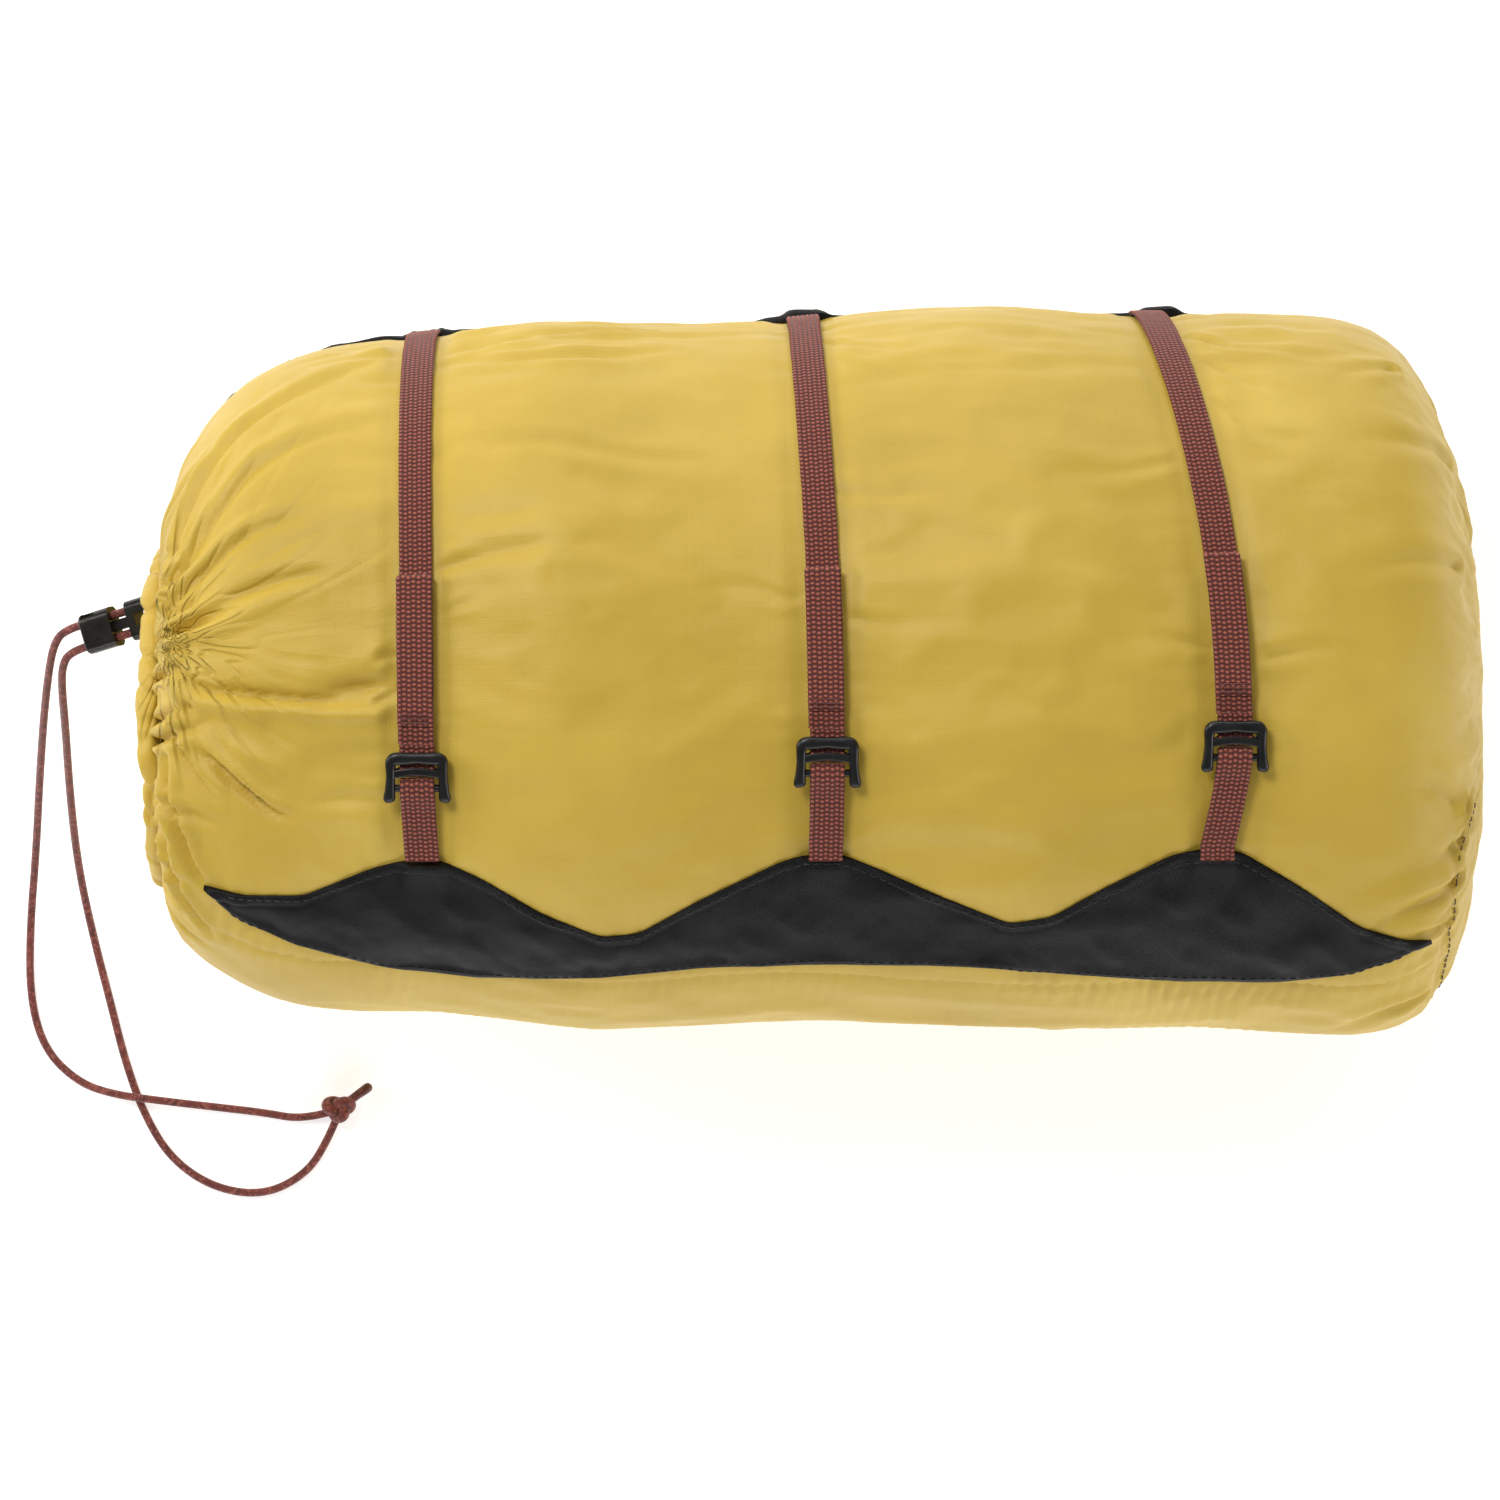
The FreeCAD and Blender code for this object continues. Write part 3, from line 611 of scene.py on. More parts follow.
def base_grid():
    """Points of the CAD shell's outside, in rows from the mouth to the end's middle and columns round it."""
    tree = cad_tree(SHELL_NODES)
    rows = sweep_rows()
    grid = np.zeros((len(rows), COLUMNS, 3))
    reach = 0.25
    for i, (x, y, z, tilt) in enumerate(rows):
        along, out = -math.cos(math.radians(tilt)), math.sin(math.radians(tilt))
        for j in range(COLUMNS):
            angle = 2 * math.pi * j / COLUMNS
            ray = Vector((along, out * math.sin(angle), out * math.cos(angle)))
            origin = Vector((x, y, z))
            hit = tree.ray_cast(origin + ray * reach, -ray, reach)[0]
            grid[i, j] = hit if hit is not None else origin + ray * 0.09
    for _ in range(10):
        smooth = grid.copy()
        smooth[1:-1] = 0.5 * grid[1:-1] + 0.25 * (grid[:-2] + grid[2:])
        grid = 0.5 * smooth + 0.25 * (np.roll(smooth, 1, axis=1) + np.roll(smooth, -1, axis=1))
    return grid


def grid_normals(grid):
    """Outward normals of a grid that closes on itself along its columns."""
    across = np.roll(grid, -1, axis=1) - np.roll(grid, 1, axis=1)
    along = np.gradient(grid, axis=0)
    normal = unit(np.cross(across, along))
    middle = grid.mean(axis=(0, 1))
    if np.sum(normal * (grid - middle)) < 0:
        normal = -normal
    return normal


def refine(grid):
    """Twice as many rows and columns, on smooth curves through the old points."""
    def halves(a, b, c, d):
        return (-a + 9 * b + 9 * c - d) / 16
    rows, columns, _ = grid.shape
    wide = np.zeros((rows, columns * 2, 3))
    wide[:, 0::2] = grid
    wide[:, 1::2] = halves(*[np.roll(grid, step, axis=1) for step in (1, 0, -1, -2)])
    before = np.concatenate([wide[:1] * 2 - wide[1:2], wide, wide[-1:] * 2 - wide[-2:-1]])
    tall = np.zeros((rows * 2 - 1, columns * 2, 3))
    tall[0::2] = wide
    tall[1::2] = halves(before[:-3], before[1:-2], before[2:-1], before[3:])
    return tall


# ---------------------------------------------------------------- straps' lines
# Each strap's number, the x and y of its buckle, and how much its line bends away in x
STRAPS = ((1, -0.1130, -0.0300, -0.14), (2, 0.0042, -0.0258, -0.38), (3, 0.1202, -0.0214, -1.20))
WEB_WIDTH = 10.0 * MM
WEB = 1.1 * MM
STRAP_HEIGHT = 0.9 * MM        # middle of the standing strap, above the sack
TAIL_HEIGHT = 2.8 * MM         # middle of the layer above it
LOOP_START = 9.8 * MM          # from the middle of the buckle
LOOP_LENGTHS = {1: 46.6, 2: 44.2, 3: 44.2}             # in mm
ANCHOR_END_Y = -0.0535
ANCHOR_LEAN = {1: 0.0012, 2: -0.0004, 3: -0.0042}      # how far each anchor loop's foot lies to one side


def strap_x(strap, y):
    """The x of the strap's middle at y."""
    _, bx, by, bend = strap
    return bx + bend * (y - by) ** 2


def joint_place(name):
    """Where a joint's axis lies."""
    found = [j for j in frame["joints"] if j["name"] == name][0]
    return Vector(found["pos_m"])


class BuckleFrame:
    """One buckle's own axes: v up the strap, w off the sack, and u along X."""

    def __init__(self, strap):
        self.number = strap[0]
        tilt = joint_place(f"buckle_{self.number}_tilt")
        lift = joint_place(f"pull_loop_{self.number}_lift")
        reach = lift - tilt
        lean = math.atan2(0.1, 13.0)
        self.u = Vector((1, 0, 0))
        self.v = Vector((0, reach.y * math.cos(lean) - reach.z * math.sin(lean),
                         reach.y * math.sin(lean) + reach.z * math.cos(lean))).normalized()
        self.w = self.u.cross(self.v)
        self.origin = tilt + self.v * 3.2 * MM - self.w * 3.3 * MM

    def point(self, v, w):
        """A point in metres from v and w in mm."""
        return self.origin + self.v * (v * MM) + self.w * (w * MM)


def surface_line(tree, strap, angles, shift):
    """Points of the sack under a line beside the strap's middle, for angles from the top towards +Y."""
    points = []
    y = strap[2]
    for angle in angles:
        ray = Vector((0, math.sin(angle), math.cos(angle)))
        for _ in range(3):
            origin = Vector((strap_x(strap, y) + shift, 0, MID_Z))
            hit = tree.ray_cast(origin + ray * 0.2, -ray, 0.2)[0]
            y = hit.y
        points.append(np.array(hit))
    return np.array(points)


def smooth_line(points, rounds):
    """The line with its kinks taken out, by averaging each point with its neighbours."""
    for _ in range(rounds):
        points[1:-1] = 0.5 * points[1:-1] + 0.25 * (points[:-2] + points[2:])
    return points


def strap_path(tree, strap):
    """The strap's line on the sack from below its buckle to the rear panel: distance, point, normal, side."""
    start = math.atan2(strap[2] - 0.012, 0.088)
    angles = np.linspace(start, math.radians(91.5), 420)
    shifts = (-4.5 * MM, 4.5 * MM, 0.0)
    left, right, middle = [smooth_line(surface_line(tree, strap, angles, shift), 40) for shift in shifts]
    side = unit(right - left)
    normal = unit(np.cross(side, np.gradient(middle, axis=0)))
    distance = distances_along(middle)
    buckle = BuckleFrame(strap)
    zero = distance[np.argmin(np.linalg.norm(middle - np.array(buckle.origin), axis=1))]
    return distance - zero, middle, normal, side


def along_path(path, distances, height):
    """Points, normals and sides at distances along a strap's path, at a height off the sack."""
    s, middle, normal, side = path
    middle, normal, side = [rows_at(distances, s, rows) for rows in (middle, normal, side)]
    return middle + normal * np.asarray(height).reshape(-1, 1), normal, side


# ---------------------------------------------------------------- folds
def densify(points, step):
    """A smooth line through the points, sampled about every step."""
    points = np.asarray(points, float)
    padded = np.concatenate([points[:1] * 2 - points[1:2], points, points[-1:] * 2 - points[-2:-1]])
    out = []
    for a, b, c, d in zip(padded[:-3], padded[1:-2], padded[2:-1], padded[3:]):
        count = max(2, int(np.linalg.norm(c - b) / step))
        t = np.linspace(0, 1, count, endpoint=False)[:, None]
        square, cube = 2 * a - 5 * b + 4 * c - d, 3 * b - a - 3 * c + d
        out.append(0.5 * (2 * b + (c - a) * t + square * t ** 2 + cube * t ** 3))
    out.append(points[-1:])
    return np.concatenate(out)


def crease(grid, normal, line, width, depth, ridge, side, fade):
    """Presses a valley along a line into the grid, with soft ridges beside it.

    side -1 or 1 keeps one ridge only. fade "end" runs out towards the line's end, "both" at both ends.
    """
    flat = grid.reshape(-1, 3)
    reach = width * 4.2
    near = np.all((flat > line.min(axis=0) - reach) & (flat < line.max(axis=0) + reach), axis=1)
    index = np.nonzero(near)[0]
    if len(index) == 0:
        return
    length = distances_along(line)
    tangent = unit(np.gradient(line, axis=0))
    best = np.full(len(index), 1e9)
    share = np.zeros(len(index))
    sign = np.zeros(len(index))
    normals = normal.reshape(-1, 3)[index]
    for k in range(len(line)):
        gap = flat[index] - line[k]
        d = np.einsum("ij,ij->i", gap, gap)
        closer = d < best
        best[closer] = d[closer]
        share[closer] = length[k] / length[-1]
        sign[closer] = np.sign(np.einsum("ij,ij->i", np.cross(tangent[k], normals[closer]), gap[closer]))
    d = np.sqrt(best)
    if fade == "end":
        strength = np.clip(1 - share, 0, 1) ** 0.8
        wide = width * (0.6 + 0.7 * share)
    else:
        strength = np.sin(np.pi * np.clip(share, 0.02, 0.98)) ** 0.7
        wide = np.full(len(d), width)
    profile = -0.7 * np.exp(-(d / wide) ** 2) - 0.45 * np.exp(-(d / (0.45 * wide)) ** 2)
    hump = np.exp(-((d - 2.0 * wide) / (1.25 * wide)) ** 2)
    if side != 0:
        hump = hump * (sign * side > 0)
    move = (profile + ridge * hump) * depth * strength * FOLD_DEPTH
    flat[index] += normals * move[:, None]
    grid[:] = flat.reshape(grid.shape)


# Folds on the side that faces up, as lines in plan (mm), then width, depth, ridge, side and where they fade
TOP_FOLDS = [
    ([(-184, 10), (-179, 13), (-171, 16), (-165, 18)], 1.9, 3.4, 0.5, 0, "end"),
    ([(-185, 6), (-182, 7), (-178, 8)], 1.5, 2.6, 0.5, 0, "end"),
    ([(-184, 11), (-182, 16), (-177, 21)], 1.5, 2.4, 0.5, 0, "end"),
    ([(-184, 2), (-180, -3), (-174, -6), (-164, -7), (-153, -8), (-137, -9), (-117, -9)],
     1.8, 1.7, 0.8, 1, "both"),
    ([(-185, 2), (-180, -3), (-174, -6), (-164, -7)], 1.2, 1.6, 0.5, 0, "end"),
    ([(-183, -4), (-180, -9), (-179, -15)], 1.5, 2.6, 0.5, 0, "end"),
    ([(-182, -8), (-174, -9), (-166, -11), (-160, -14), (-157, -19)], 2.6, -1.3, 0.3, 0, "both"),
    ([(-185, -14), (-183, -21), (-179, -29), (-175, -34), (-169, -40)], 1.5, 2.3, 0.7, -1, "end"),
    ([(-178, -22), (-170, -29), (-162, -36), (-155, -41), (-149, -43)], 1.7, 2.3, 0.7, -1, "both"),
    ([(-168, -20), (-158, -26), (-150, -30)], 4.0, -1.2, 0.2, 0, "both"),
    ([(-187, -21), (-186, -37), (-183, -46), (-180, -56), (-176, -63)], 1.6, 2.4, 0.6, 0, "both"),
    ([(-190, -29), (-188, -46), (-184, -64), (-176, -77)], 1.6, 2.0, 0.6, 0, "both"),
    ([(-185, 20), (-183, 27), (-181, 34)], 1.4, 2.4, 0.5, 0, "end"),
    ([(-185, 24), (-182, 35), (-178, 46)], 1.5, 2.2, 0.5, 0, "end"),
    ([(-185, 18), (-174, 30), (-166, 37), (-156, 42), (-144, 45)], 1.8, 1.9, 0.7, -1, "end"),
    ([(-179, 15), (-171, 19), (-163, 22), (-152, 26), (-139, 28)], 2.6, 1.2, 0.9, 1, "both"),
    ([(-186, 22), (-182, 46), (-170, 67), (-150, 82), (-118, 94)], 2.2, 1.8, 0.7, -1, "end"),
    ([(-185, 20), (-174, 43), (-159, 60), (-139, 69), (-117, 72)], 2.6, 1.4, 0.8, -1, "end"),
    ([(-140, -6), (-128, -5), (-118, -5)], 3.2, 1.5, 0.5, 0, "both"),
    ([(-145, -38), (-131, -37), (-118, -38)], 2.6, 0.6, 0.6, 0, "both"),
    ([(-110, 94), (-91, 97), (-56, 101), (-9, 103)], 1.6, 0.81, 0.9, 1, "both"),
    ([(-109, 91), (-78, 92), (-38, 94)], 2.0, 0.56, 0.8, 0, "both"),
    ([(-96, 65), (-77, 66), (-55, 62), (-30, 60)], 2.4, 0.43, 0.8, 0, "both"),
    ([(-107, 29), (-89, 34), (-55, 37)], 3.4, 0.62, 0.6, 0, "end"),
    ([(-108, 15), (-102, 18), (-93, 21)], 1.5, 0.62, 0.7, 0, "end"),
    ([(-126, 2), (-121, 4), (-117, 4)], 1.5, 0.9, 0.7, 0, "both"),
    ([(-127, -11), (-122, -8), (-117, -6)], 1.3, 0.9, 0.7, 0, "both"),
    ([(3, 98), (16, 95), (34, 95)], 1.5, 0.5, 0.8, 0, "end"),
    ([(3, 94), (14, 88), (26, 85)], 1.5, 0.5, 0.8, 0, "end"),
    ([(6, 52), (20, 50), (46, 52)], 3.0, 0.43, 0.6, 0, "end"),
    ([(-5, 20), (-20, 24), (-44, 22)], 2.6, 0.43, 0.6, 0, "end"),
    ([(9, 16), (20, 13), (38, 14)], 2.2, 0.43, 0.6, 0, "end"),
    ([(110, 99), (124, 95), (146, 93)], 1.7, 0.62, 0.8, 0, "end"),
    ([(112, 92), (127, 84), (142, 80)], 1.7, 0.56, 0.8, 0, "end"),
    ([(117, 78), (130, 68), (150, 66)], 2.2, 0.5, 0.8, 0, "end"),
    ([(104, 60), (86, 57), (66, 58)], 2.6, 0.43, 0.7, 0, "end"),
    ([(115, 6), (100, 9), (76, 8)], 2.6, 0.5, 0.7, 0, "end"),
    ([(130, 4), (146, 6), (163, 1)], 2.6, 0.5, 0.7, 0, "end"),
    ([(190, -36), (188, -41), (189, -52)], 1.5, 2.6, 0.5, 0, "both"),
    ([(188, -40), (178, -34), (166, -32)], 3.0, 1.0, 0.5, 0, "end"),
    ([(187, -60), (172, -69), (156, -79)], 3.0, 1.2, 0.8, 0, "end"),
    ([(187, -50), (170, -58), (150, -66)], 4.0, 0.9, 0.7, 0, "end"),
    ([(186, -72), (180, -75), (170, -77)], 1.6, 1.6, 0.7, 0, "end"),
    ([(180, -95), (167, -101), (152, -107)], 3.2, 1.2, 0.7, 0, "end"),
    ([(187, 60), (172, 66), (154, 66)], 3.0, 0.9, 0.7, 0, "end"),
    ([(187, 30), (170, 31), (150, 26)], 3.4, 0.8, 0.7, 0, "end"),
    ([(184, 84), (170, 88), (152, 86)], 2.4, 1.0, 0.7, 0, "end"),
]
PLEATS = 34              # small folds gathered round the mouth
FOLD_DEPTH = 1.7         # all the folds' depths are multiplied by this


def top_line(tree, plan):
    """A plan line in mm, dropped onto the sack."""
    points = []
    for x, y in plan:
        hit = tree.ray_cast(Vector((x * MM, y * MM, 0.3)), Vector((0, 0, -1)), 0.3)[0]
        if hit is not None:
            points.append(np.array(hit))
    return densify(points, 0.9 * MM) if len(points) > 1 else None


def pleat_angles():
    """Where the gathers round the mouth lie, in radians, uneven as drawn-up fabric is."""
    step = 2 * math.pi / PLEATS
    return [step * (k + 0.55 * (rng.random() - 0.5)) for k in range(PLEATS)]


def grid_line(grid, i0, i1, angle, drift):
    """A line down the grid's rows from i0 to i1, which starts at an angle and drifts sideways, in radians."""
    columns = grid.shape[1]
    points = []
    for share in np.linspace(0, 1, 12):
        i = i0 + (i1 - i0) * share
        j = (angle + drift * share ** 1.5) / (2 * math.pi) * columns
        low, rest = int(math.floor(j)), j - math.floor(j)
        row = grid[int(round(i))]
        points.append(row[low % columns] * (1 - rest) + row[(low + 1) % columns] * rest)
    return densify(points, 0.9 * MM)


def gather_mouth(grid, normal, pleats):
    """Folds that run from the drawn-up mouth into the sack."""
    for angle in pleats:
        seen = math.cos(angle) > -0.2
        length = rng.uniform(7, 16) if seen else rng.choice([8, 14, 22, 40], p=[0.3, 0.3, 0.25, 0.15])
        depth = rng.uniform(1.5, 2.4) * MM
        line = grid_line(grid, 0, length * 2, angle, rng.uniform(-0.09, 0.09))
        crease(grid, normal, line, (1.3 + 0.03 * length) * MM, depth, 0.5, 0, "end")
    for k in range(9):
        angle = math.pi * (0.62 + 0.76 * k / 8) + rng.uniform(-0.04, 0.04)
        line = grid_line(grid, 4, rng.uniform(56, 110), angle, rng.uniform(-0.3, 0.3))
        width, depth = rng.uniform(2.0, 3.4) * MM, rng.uniform(0.9, 1.9) * MM
        crease(grid, normal, line, width, depth, 0.7, rng.choice([-1, 1]), "end")


# ---------------------------------------------------------------- cloth
SEAM_Z, SEAM_SLOPE = 0.099, -0.495      # the side seams' plane: z at y = 0, and its fall per y
END_SEAM_X = 0.186
SWELL_CAP = 3.2 * MM                    # the furthest that the cloth may move from the CAD shape


def seam_distance(points):
    """Distance from the plane of the two side seams, positive above it."""
    return (points[..., 2] - SEAM_Z - SEAM_SLOPE * points[..., 1]) / math.hypot(1, SEAM_SLOPE)


def end_distance(points):
    """Distance in x past the end seam, which sits further round the end on the side that faces up."""
    y, z = points[..., 1], points[..., 2]
    front = np.clip((y + 0.054) / 0.018, 0, 1)
    rear = 1 - np.clip((y - 0.055) / 0.045, 0, 1)
    above = np.clip((z - 0.070) / 0.035, 0, 1)
    return points[..., 0] - END_SEAM_X - 0.0098 * ease(front) * ease(rear) * ease(above)


def strap_gap(points):
    """Distance in x to the nearest strap's middle, for the side of the sack that the straps cross."""
    gaps = []
    for strap in STRAPS:
        gap = np.abs(points[..., 0] - strap_x(strap, points[..., 1]))
        crossed = (points[..., 2] > 0.091) & (points[..., 1] > -0.056)
        gaps.append(np.where(crossed, gap, 1.0))
    return np.min(gaps, axis=0)


def cloth_weights(grid):
    """How firmly each point is held, and how much its cloth is larger than the shape it covers."""
    rows = np.arange(grid.shape[0])[:, None] * np.ones((1, grid.shape[1]))
    gap, seam = strap_gap(grid), np.abs(seam_distance(grid))
    end = np.abs(end_distance(grid))
    hold = np.zeros(grid.shape[:2])
    hold[gap < 6.0 * MM] = 1.0
    hold[rows < 2] = 1.0
    hold[seam < 2.2 * MM] = 1.0
    hold[end < 2.0 * MM] = 1.0
    hold[grid[..., 2] < 4 * MM] = 1.0
    hold[rows > grid.shape[0] - 4] = 1.0
    grow = 0.10 * np.ones(grid.shape[:2])
    grow += 0.75 * np.exp(-(rows / 14.0) ** 2)
    grow += 0.35 * np.exp(-(gap / (16 * MM)) ** 2)
    grow += 0.40 * np.exp(-(seam / (12 * MM)) ** 2)
    grow += 0.50 * np.exp(-(end / (14 * MM)) ** 2)
    return hold, np.clip(grow, 0, 1)


def relax_cloth(grid):
    """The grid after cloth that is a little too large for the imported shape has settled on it."""
    rows, columns, _ = grid.shape
    start = grid + grid_normals(grid) * (grid_noise(grid, 9 * MM, 5)[..., None] * 0.25 * MM)
    piece = mesh_object("cloth_trial", start.reshape(-1, 3), grid_faces(rows, columns))
    hold, grow = cloth_weights(grid)
    for name, weights in (("hold", hold), ("grow", grow)):
        group = piece.vertex_groups.new(name=name)
        for k, weight in enumerate(weights.ravel()):
            if weight > 0.001:
                group.add([k], float(weight), "REPLACE")
    cloth = piece.modifiers.new("cloth", "CLOTH")
    settings = cloth.settings
    settings.quality = 5
    settings.mass = 0.25
    settings.tension_stiffness = 20
    settings.compression_stiffness = 12
    settings.shear_stiffness = 6
    settings.bending_stiffness = 0.6
    settings.air_damping = 2.0
    settings.use_pressure = True
    settings.uniform_pressure_force = 1.2
    settings.vertex_group_mass = "hold"
    settings.vertex_group_shrink = "grow"
    settings.shrink_min = 0.0
    settings.shrink_max = -0.07
    settings.effector_weights.gravity = 0
    cloth.collision_settings.use_collision = False
    scene = bpy.context.scene
    cloth.point_cache.frame_start, cloth.point_cache.frame_end = 1, 24
    for number in range(1, 21):
        scene.frame_set(number)
    settled = piece.evaluated_get(bpy.context.evaluated_depsgraph_get()).to_mesh()
    result = np.empty(rows * columns * 3)
    settled.vertices.foreach_get("co", result)
    bpy.data.objects.remove(piece)
    scene.frame_set(1)
    move = result.reshape(rows, columns, 3) - grid
    size = np.linalg.norm(move, axis=2, keepdims=True) + 1e-9
    return grid + move / size * (SWELL_CAP * np.tanh(size / SWELL_CAP))


# ---------------------------------------------------------------- shell
def pucker_seams(points, normal):
    """Small gathers where the thread draws the seams in, and the seams' own grooves."""
    x, y, z = points[..., 0], points[..., 1], points[..., 2]
    noise, fine = grid_noise(points, 14 * MM, 8), grid_noise(points, 5 * MM, 9)
    seam = seam_distance(points)
    below = np.exp(-np.abs(seam) / (7.5 * MM)) * (1 - np.exp(-(seam / (1.2 * MM)) ** 2))
    drawn = np.clip(0.55 + 0.8 * noise, 0.1, 1.3) * np.where(x > 0.05, 1.2, 0.8)
    phase = x / (5.6 * MM) * 2 * math.pi + 2.4 * noise + 1.2 * fine
    move = 0.42 * MM * np.sin(phase) * below * drawn * (np.abs(x) < 0.18)
    move -= 0.55 * MM * np.exp(-(seam / (1.3 * MM)) ** 2) * (np.abs(x) < 0.185)
    end = end_distance(points)
    angle = np.arctan2(y, z - MID_Z)
    wave = np.sin(angle * 34 + 2.8 * noise) + 0.6 * np.sin(angle * 71 + 3 * fine)
    lumps = np.sin(angle * 13 + 2.0 * noise)
    rim = np.clip((np.hypot(y + 0.008, z - MID_Z) - 0.034) / 0.026, 0, 1) ** 1.5
    move += (0.62 * MM * wave + 0.9 * MM * lumps) * np.exp(-np.abs(end) / (9 * MM)) * (end > -0.03) * rim
    move -= 1.15 * MM * np.exp(-(end / (1.6 * MM)) ** 2)
    return points + normal * move[..., None]


def strap_wrinkles(points, base, normal):
    """Thin wrinkles that run off the straps' edges, and a few over the far shoulder."""
    thin = grid_noise(base, 3.4 * MM, 12, (0.16, 1, 1))
    wide = grid_noise(base, 9 * MM, 13, (0.2, 1, 1))
    patch = np.clip(grid_noise(base, 32 * MM, 14) + 0.25, 0, 1)
    near = np.exp(-strap_gap(base) / (17 * MM))
    shoulder = np.exp(-((base[..., 1] - 0.099) / 0.013) ** 2) * (base[..., 2] > 0.09)
    move = (0.75 * thin * near * (0.35 + patch) + 0.55 * wide * (near + 0.3) * patch) * MM
    move += 1.1 * MM * (thin + 0.5 * wide) * shoulder * (0.3 + patch)
    return points + normal * move[..., None]


def panel_puckers(points, base, normal):
    """Gathers below the front panel, where its stitching has drawn the fabric in."""
    x, y = base[..., 0] / MM, base[..., 1] / MM
    up = (base[..., 2] > 0.045) & (x > -176) & (x < 180) & (y < -40)
    below = edge_y(FRONT_LOWER, x) - y
    above = y - edge_y(FRONT_UPPER, x)
    drift = grid_noise(base, 12 * MM, 15)
    lean = 0.25 * below
    wave = np.sin(2 * math.pi * (x + lean) / 4.4 + 2.2 * drift)
    drawn = 0.30 + 0.75 * np.exp(-((x - 112) / 34) ** 2)
    gather = np.abs(wave) ** 0.7 * np.sign(wave) - 0.35
    move = 1.7 * gather * drawn * np.exp(-below / 6.5) * (1 - np.exp(-(below / 2.4) ** 2)) * (below > 0)
    wave = np.sin(2 * math.pi * x / 6.1 + 2.5 * drift)
    move += 0.22 * wave * np.exp(-above / 4.0) * (above > 0)
    move -= 0.35 * np.exp(-np.minimum(np.abs(below), np.abs(above)) / 1.6)
    return points + normal * (move * up * MM)[..., None]


def press_straps(points, base, base_normal):
    """Under a strap the fabric lies below the CAD surface, and rises again beside it."""
    gap = strap_gap(base)
    weight = ease(np.clip((12 * MM - gap) / (6 * MM), 0, 1))
    rise = np.einsum("ijk,ijk->ij", points - base, base_normal)
    low = np.minimum(rise, 0.0) - 0.7 * MM
    moved = rise * (1 - weight) + np.clip(low, -2.0 * MM, 0) * weight
    return points + base_normal * (moved - rise)[..., None]


def front_cover(points):
    """1 under the middle of the front reinforcement, 0 outside it."""
    x, y = points[..., 0] / MM, points[..., 1] / MM
    lower, upper = edge_y(FRONT_LOWER, x), edge_y(FRONT_UPPER, x)
    inside = np.minimum(y - lower, upper - y)
    up = (points[..., 2] > 0.1) & (x > -177) & (x < 181)
    return np.clip(inside / 2.0, 0, 1) * up


def shell_grid():
    """The fabric's final points: the CAD shape, settled cloth, folds, gathers, puckers, straps' marks."""
    base = base_grid()
    settled = relax_cloth(base)
    fine_base = refine(base)
    base_normal = grid_normals(fine_base)
    grid = refine(settled)
    tree = grid_tree(fine_base)
    pleats = pleat_angles()
    gather_mouth(grid, base_normal, pleats)
    for plan, width, depth, ridge, side, fade in TOP_FOLDS:
        line = top_line(tree, plan)
        if line is not None:
            crease(grid, base_normal, line, width * MM, depth * MM, ridge, side, fade)
    crumple = grid_noise(grid, 11 * MM, 21, (0.45, 1, 1))
    grid += base_normal * (crumple * 0.22 * MM)[..., None]
    grid = pucker_seams(grid, base_normal)
    for change in (strap_wrinkles, panel_puckers, press_straps):
        grid = change(grid, fine_base, base_normal)
    grid -= base_normal * (front_cover(fine_base) * 0.5 * MM)[..., None]
    grid[..., 2] = np.maximum(grid[..., 2], 0.15 * MM)
    return grid, pleats


def sub_mesh(name, grid, uv, keep, closed=False):
    """The faces of the grid that keep picks, as a piece of its own. closed adds a face over the last row."""
    rows, columns, _ = grid.shape
    faces = np.array(grid_faces(rows, columns))[keep.ravel()]
    used, inverse = np.unique(faces, return_inverse=True)
    faces = [tuple(face) for face in inverse.reshape(-1, 4)]
    if closed:
        last = np.searchsorted(used, np.arange((rows - 1) * columns, rows * columns))
        faces.append(tuple(last))
    piece = mesh_object(name, grid.reshape(-1, 3)[used], faces)
    set_uv(piece, uv.reshape(-1, 2)[used])
    return piece


def make_shell(grid):
    """The three fabric panels, cut from one grid along their seams."""
    rows, columns, _ = grid.shape
    beside = np.roll(grid, -1, axis=1)
    centre = 0.25 * (grid[:-1] + grid[1:] + beside[:-1] + beside[1:])
    end = end_distance(centre) > 0
    top = ~end & (seam_distance(centre) > 0)
    girth, length = 0.62, 0.49
    run = np.arange(rows)[:, None] * (length / rows)
    below = np.arange(columns)[None, :] * (girth / columns)
    above = np.where(below > girth / 2, below - girth, below)
    uv, uv_above = [np.stack(np.broadcast_arrays(run, turn), axis=2) for turn in (below, above)]
    end_uv = grid[..., 1:3]
    for name, keep, node, coordinates in (("shell_top", top, "top_fabric_panel", uv_above),
                                          ("shell_bottom", ~end & ~top, "bottom_fabric_panel", uv),
                                          ("shell_end", end, "end_panel", end_uv)):
        piece = sub_mesh(name, grid, coordinates, keep, closed=name == "shell_end")
        piece.data.materials.append(shell_material())
        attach(piece, "sack")
        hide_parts(node)
    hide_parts("packed_sleeping_bag")


# ---------------------------------------------------------------- mouth
HEM_X, HEM_RADIUS = -0.1930, 0.0478     # the middle of the hem's tube
HEM_SIZE = 3.8 * MM
FLAP_EDGE = 0.0445
FLAP_BULGE = 9.5 * MM


def ring_point(x, radius, angle):
    """A point on a ring about the mouth's middle."""
    return (x, MOUTH_Y + radius * math.sin(angle), MOUTH_Z + radius * math.cos(angle))


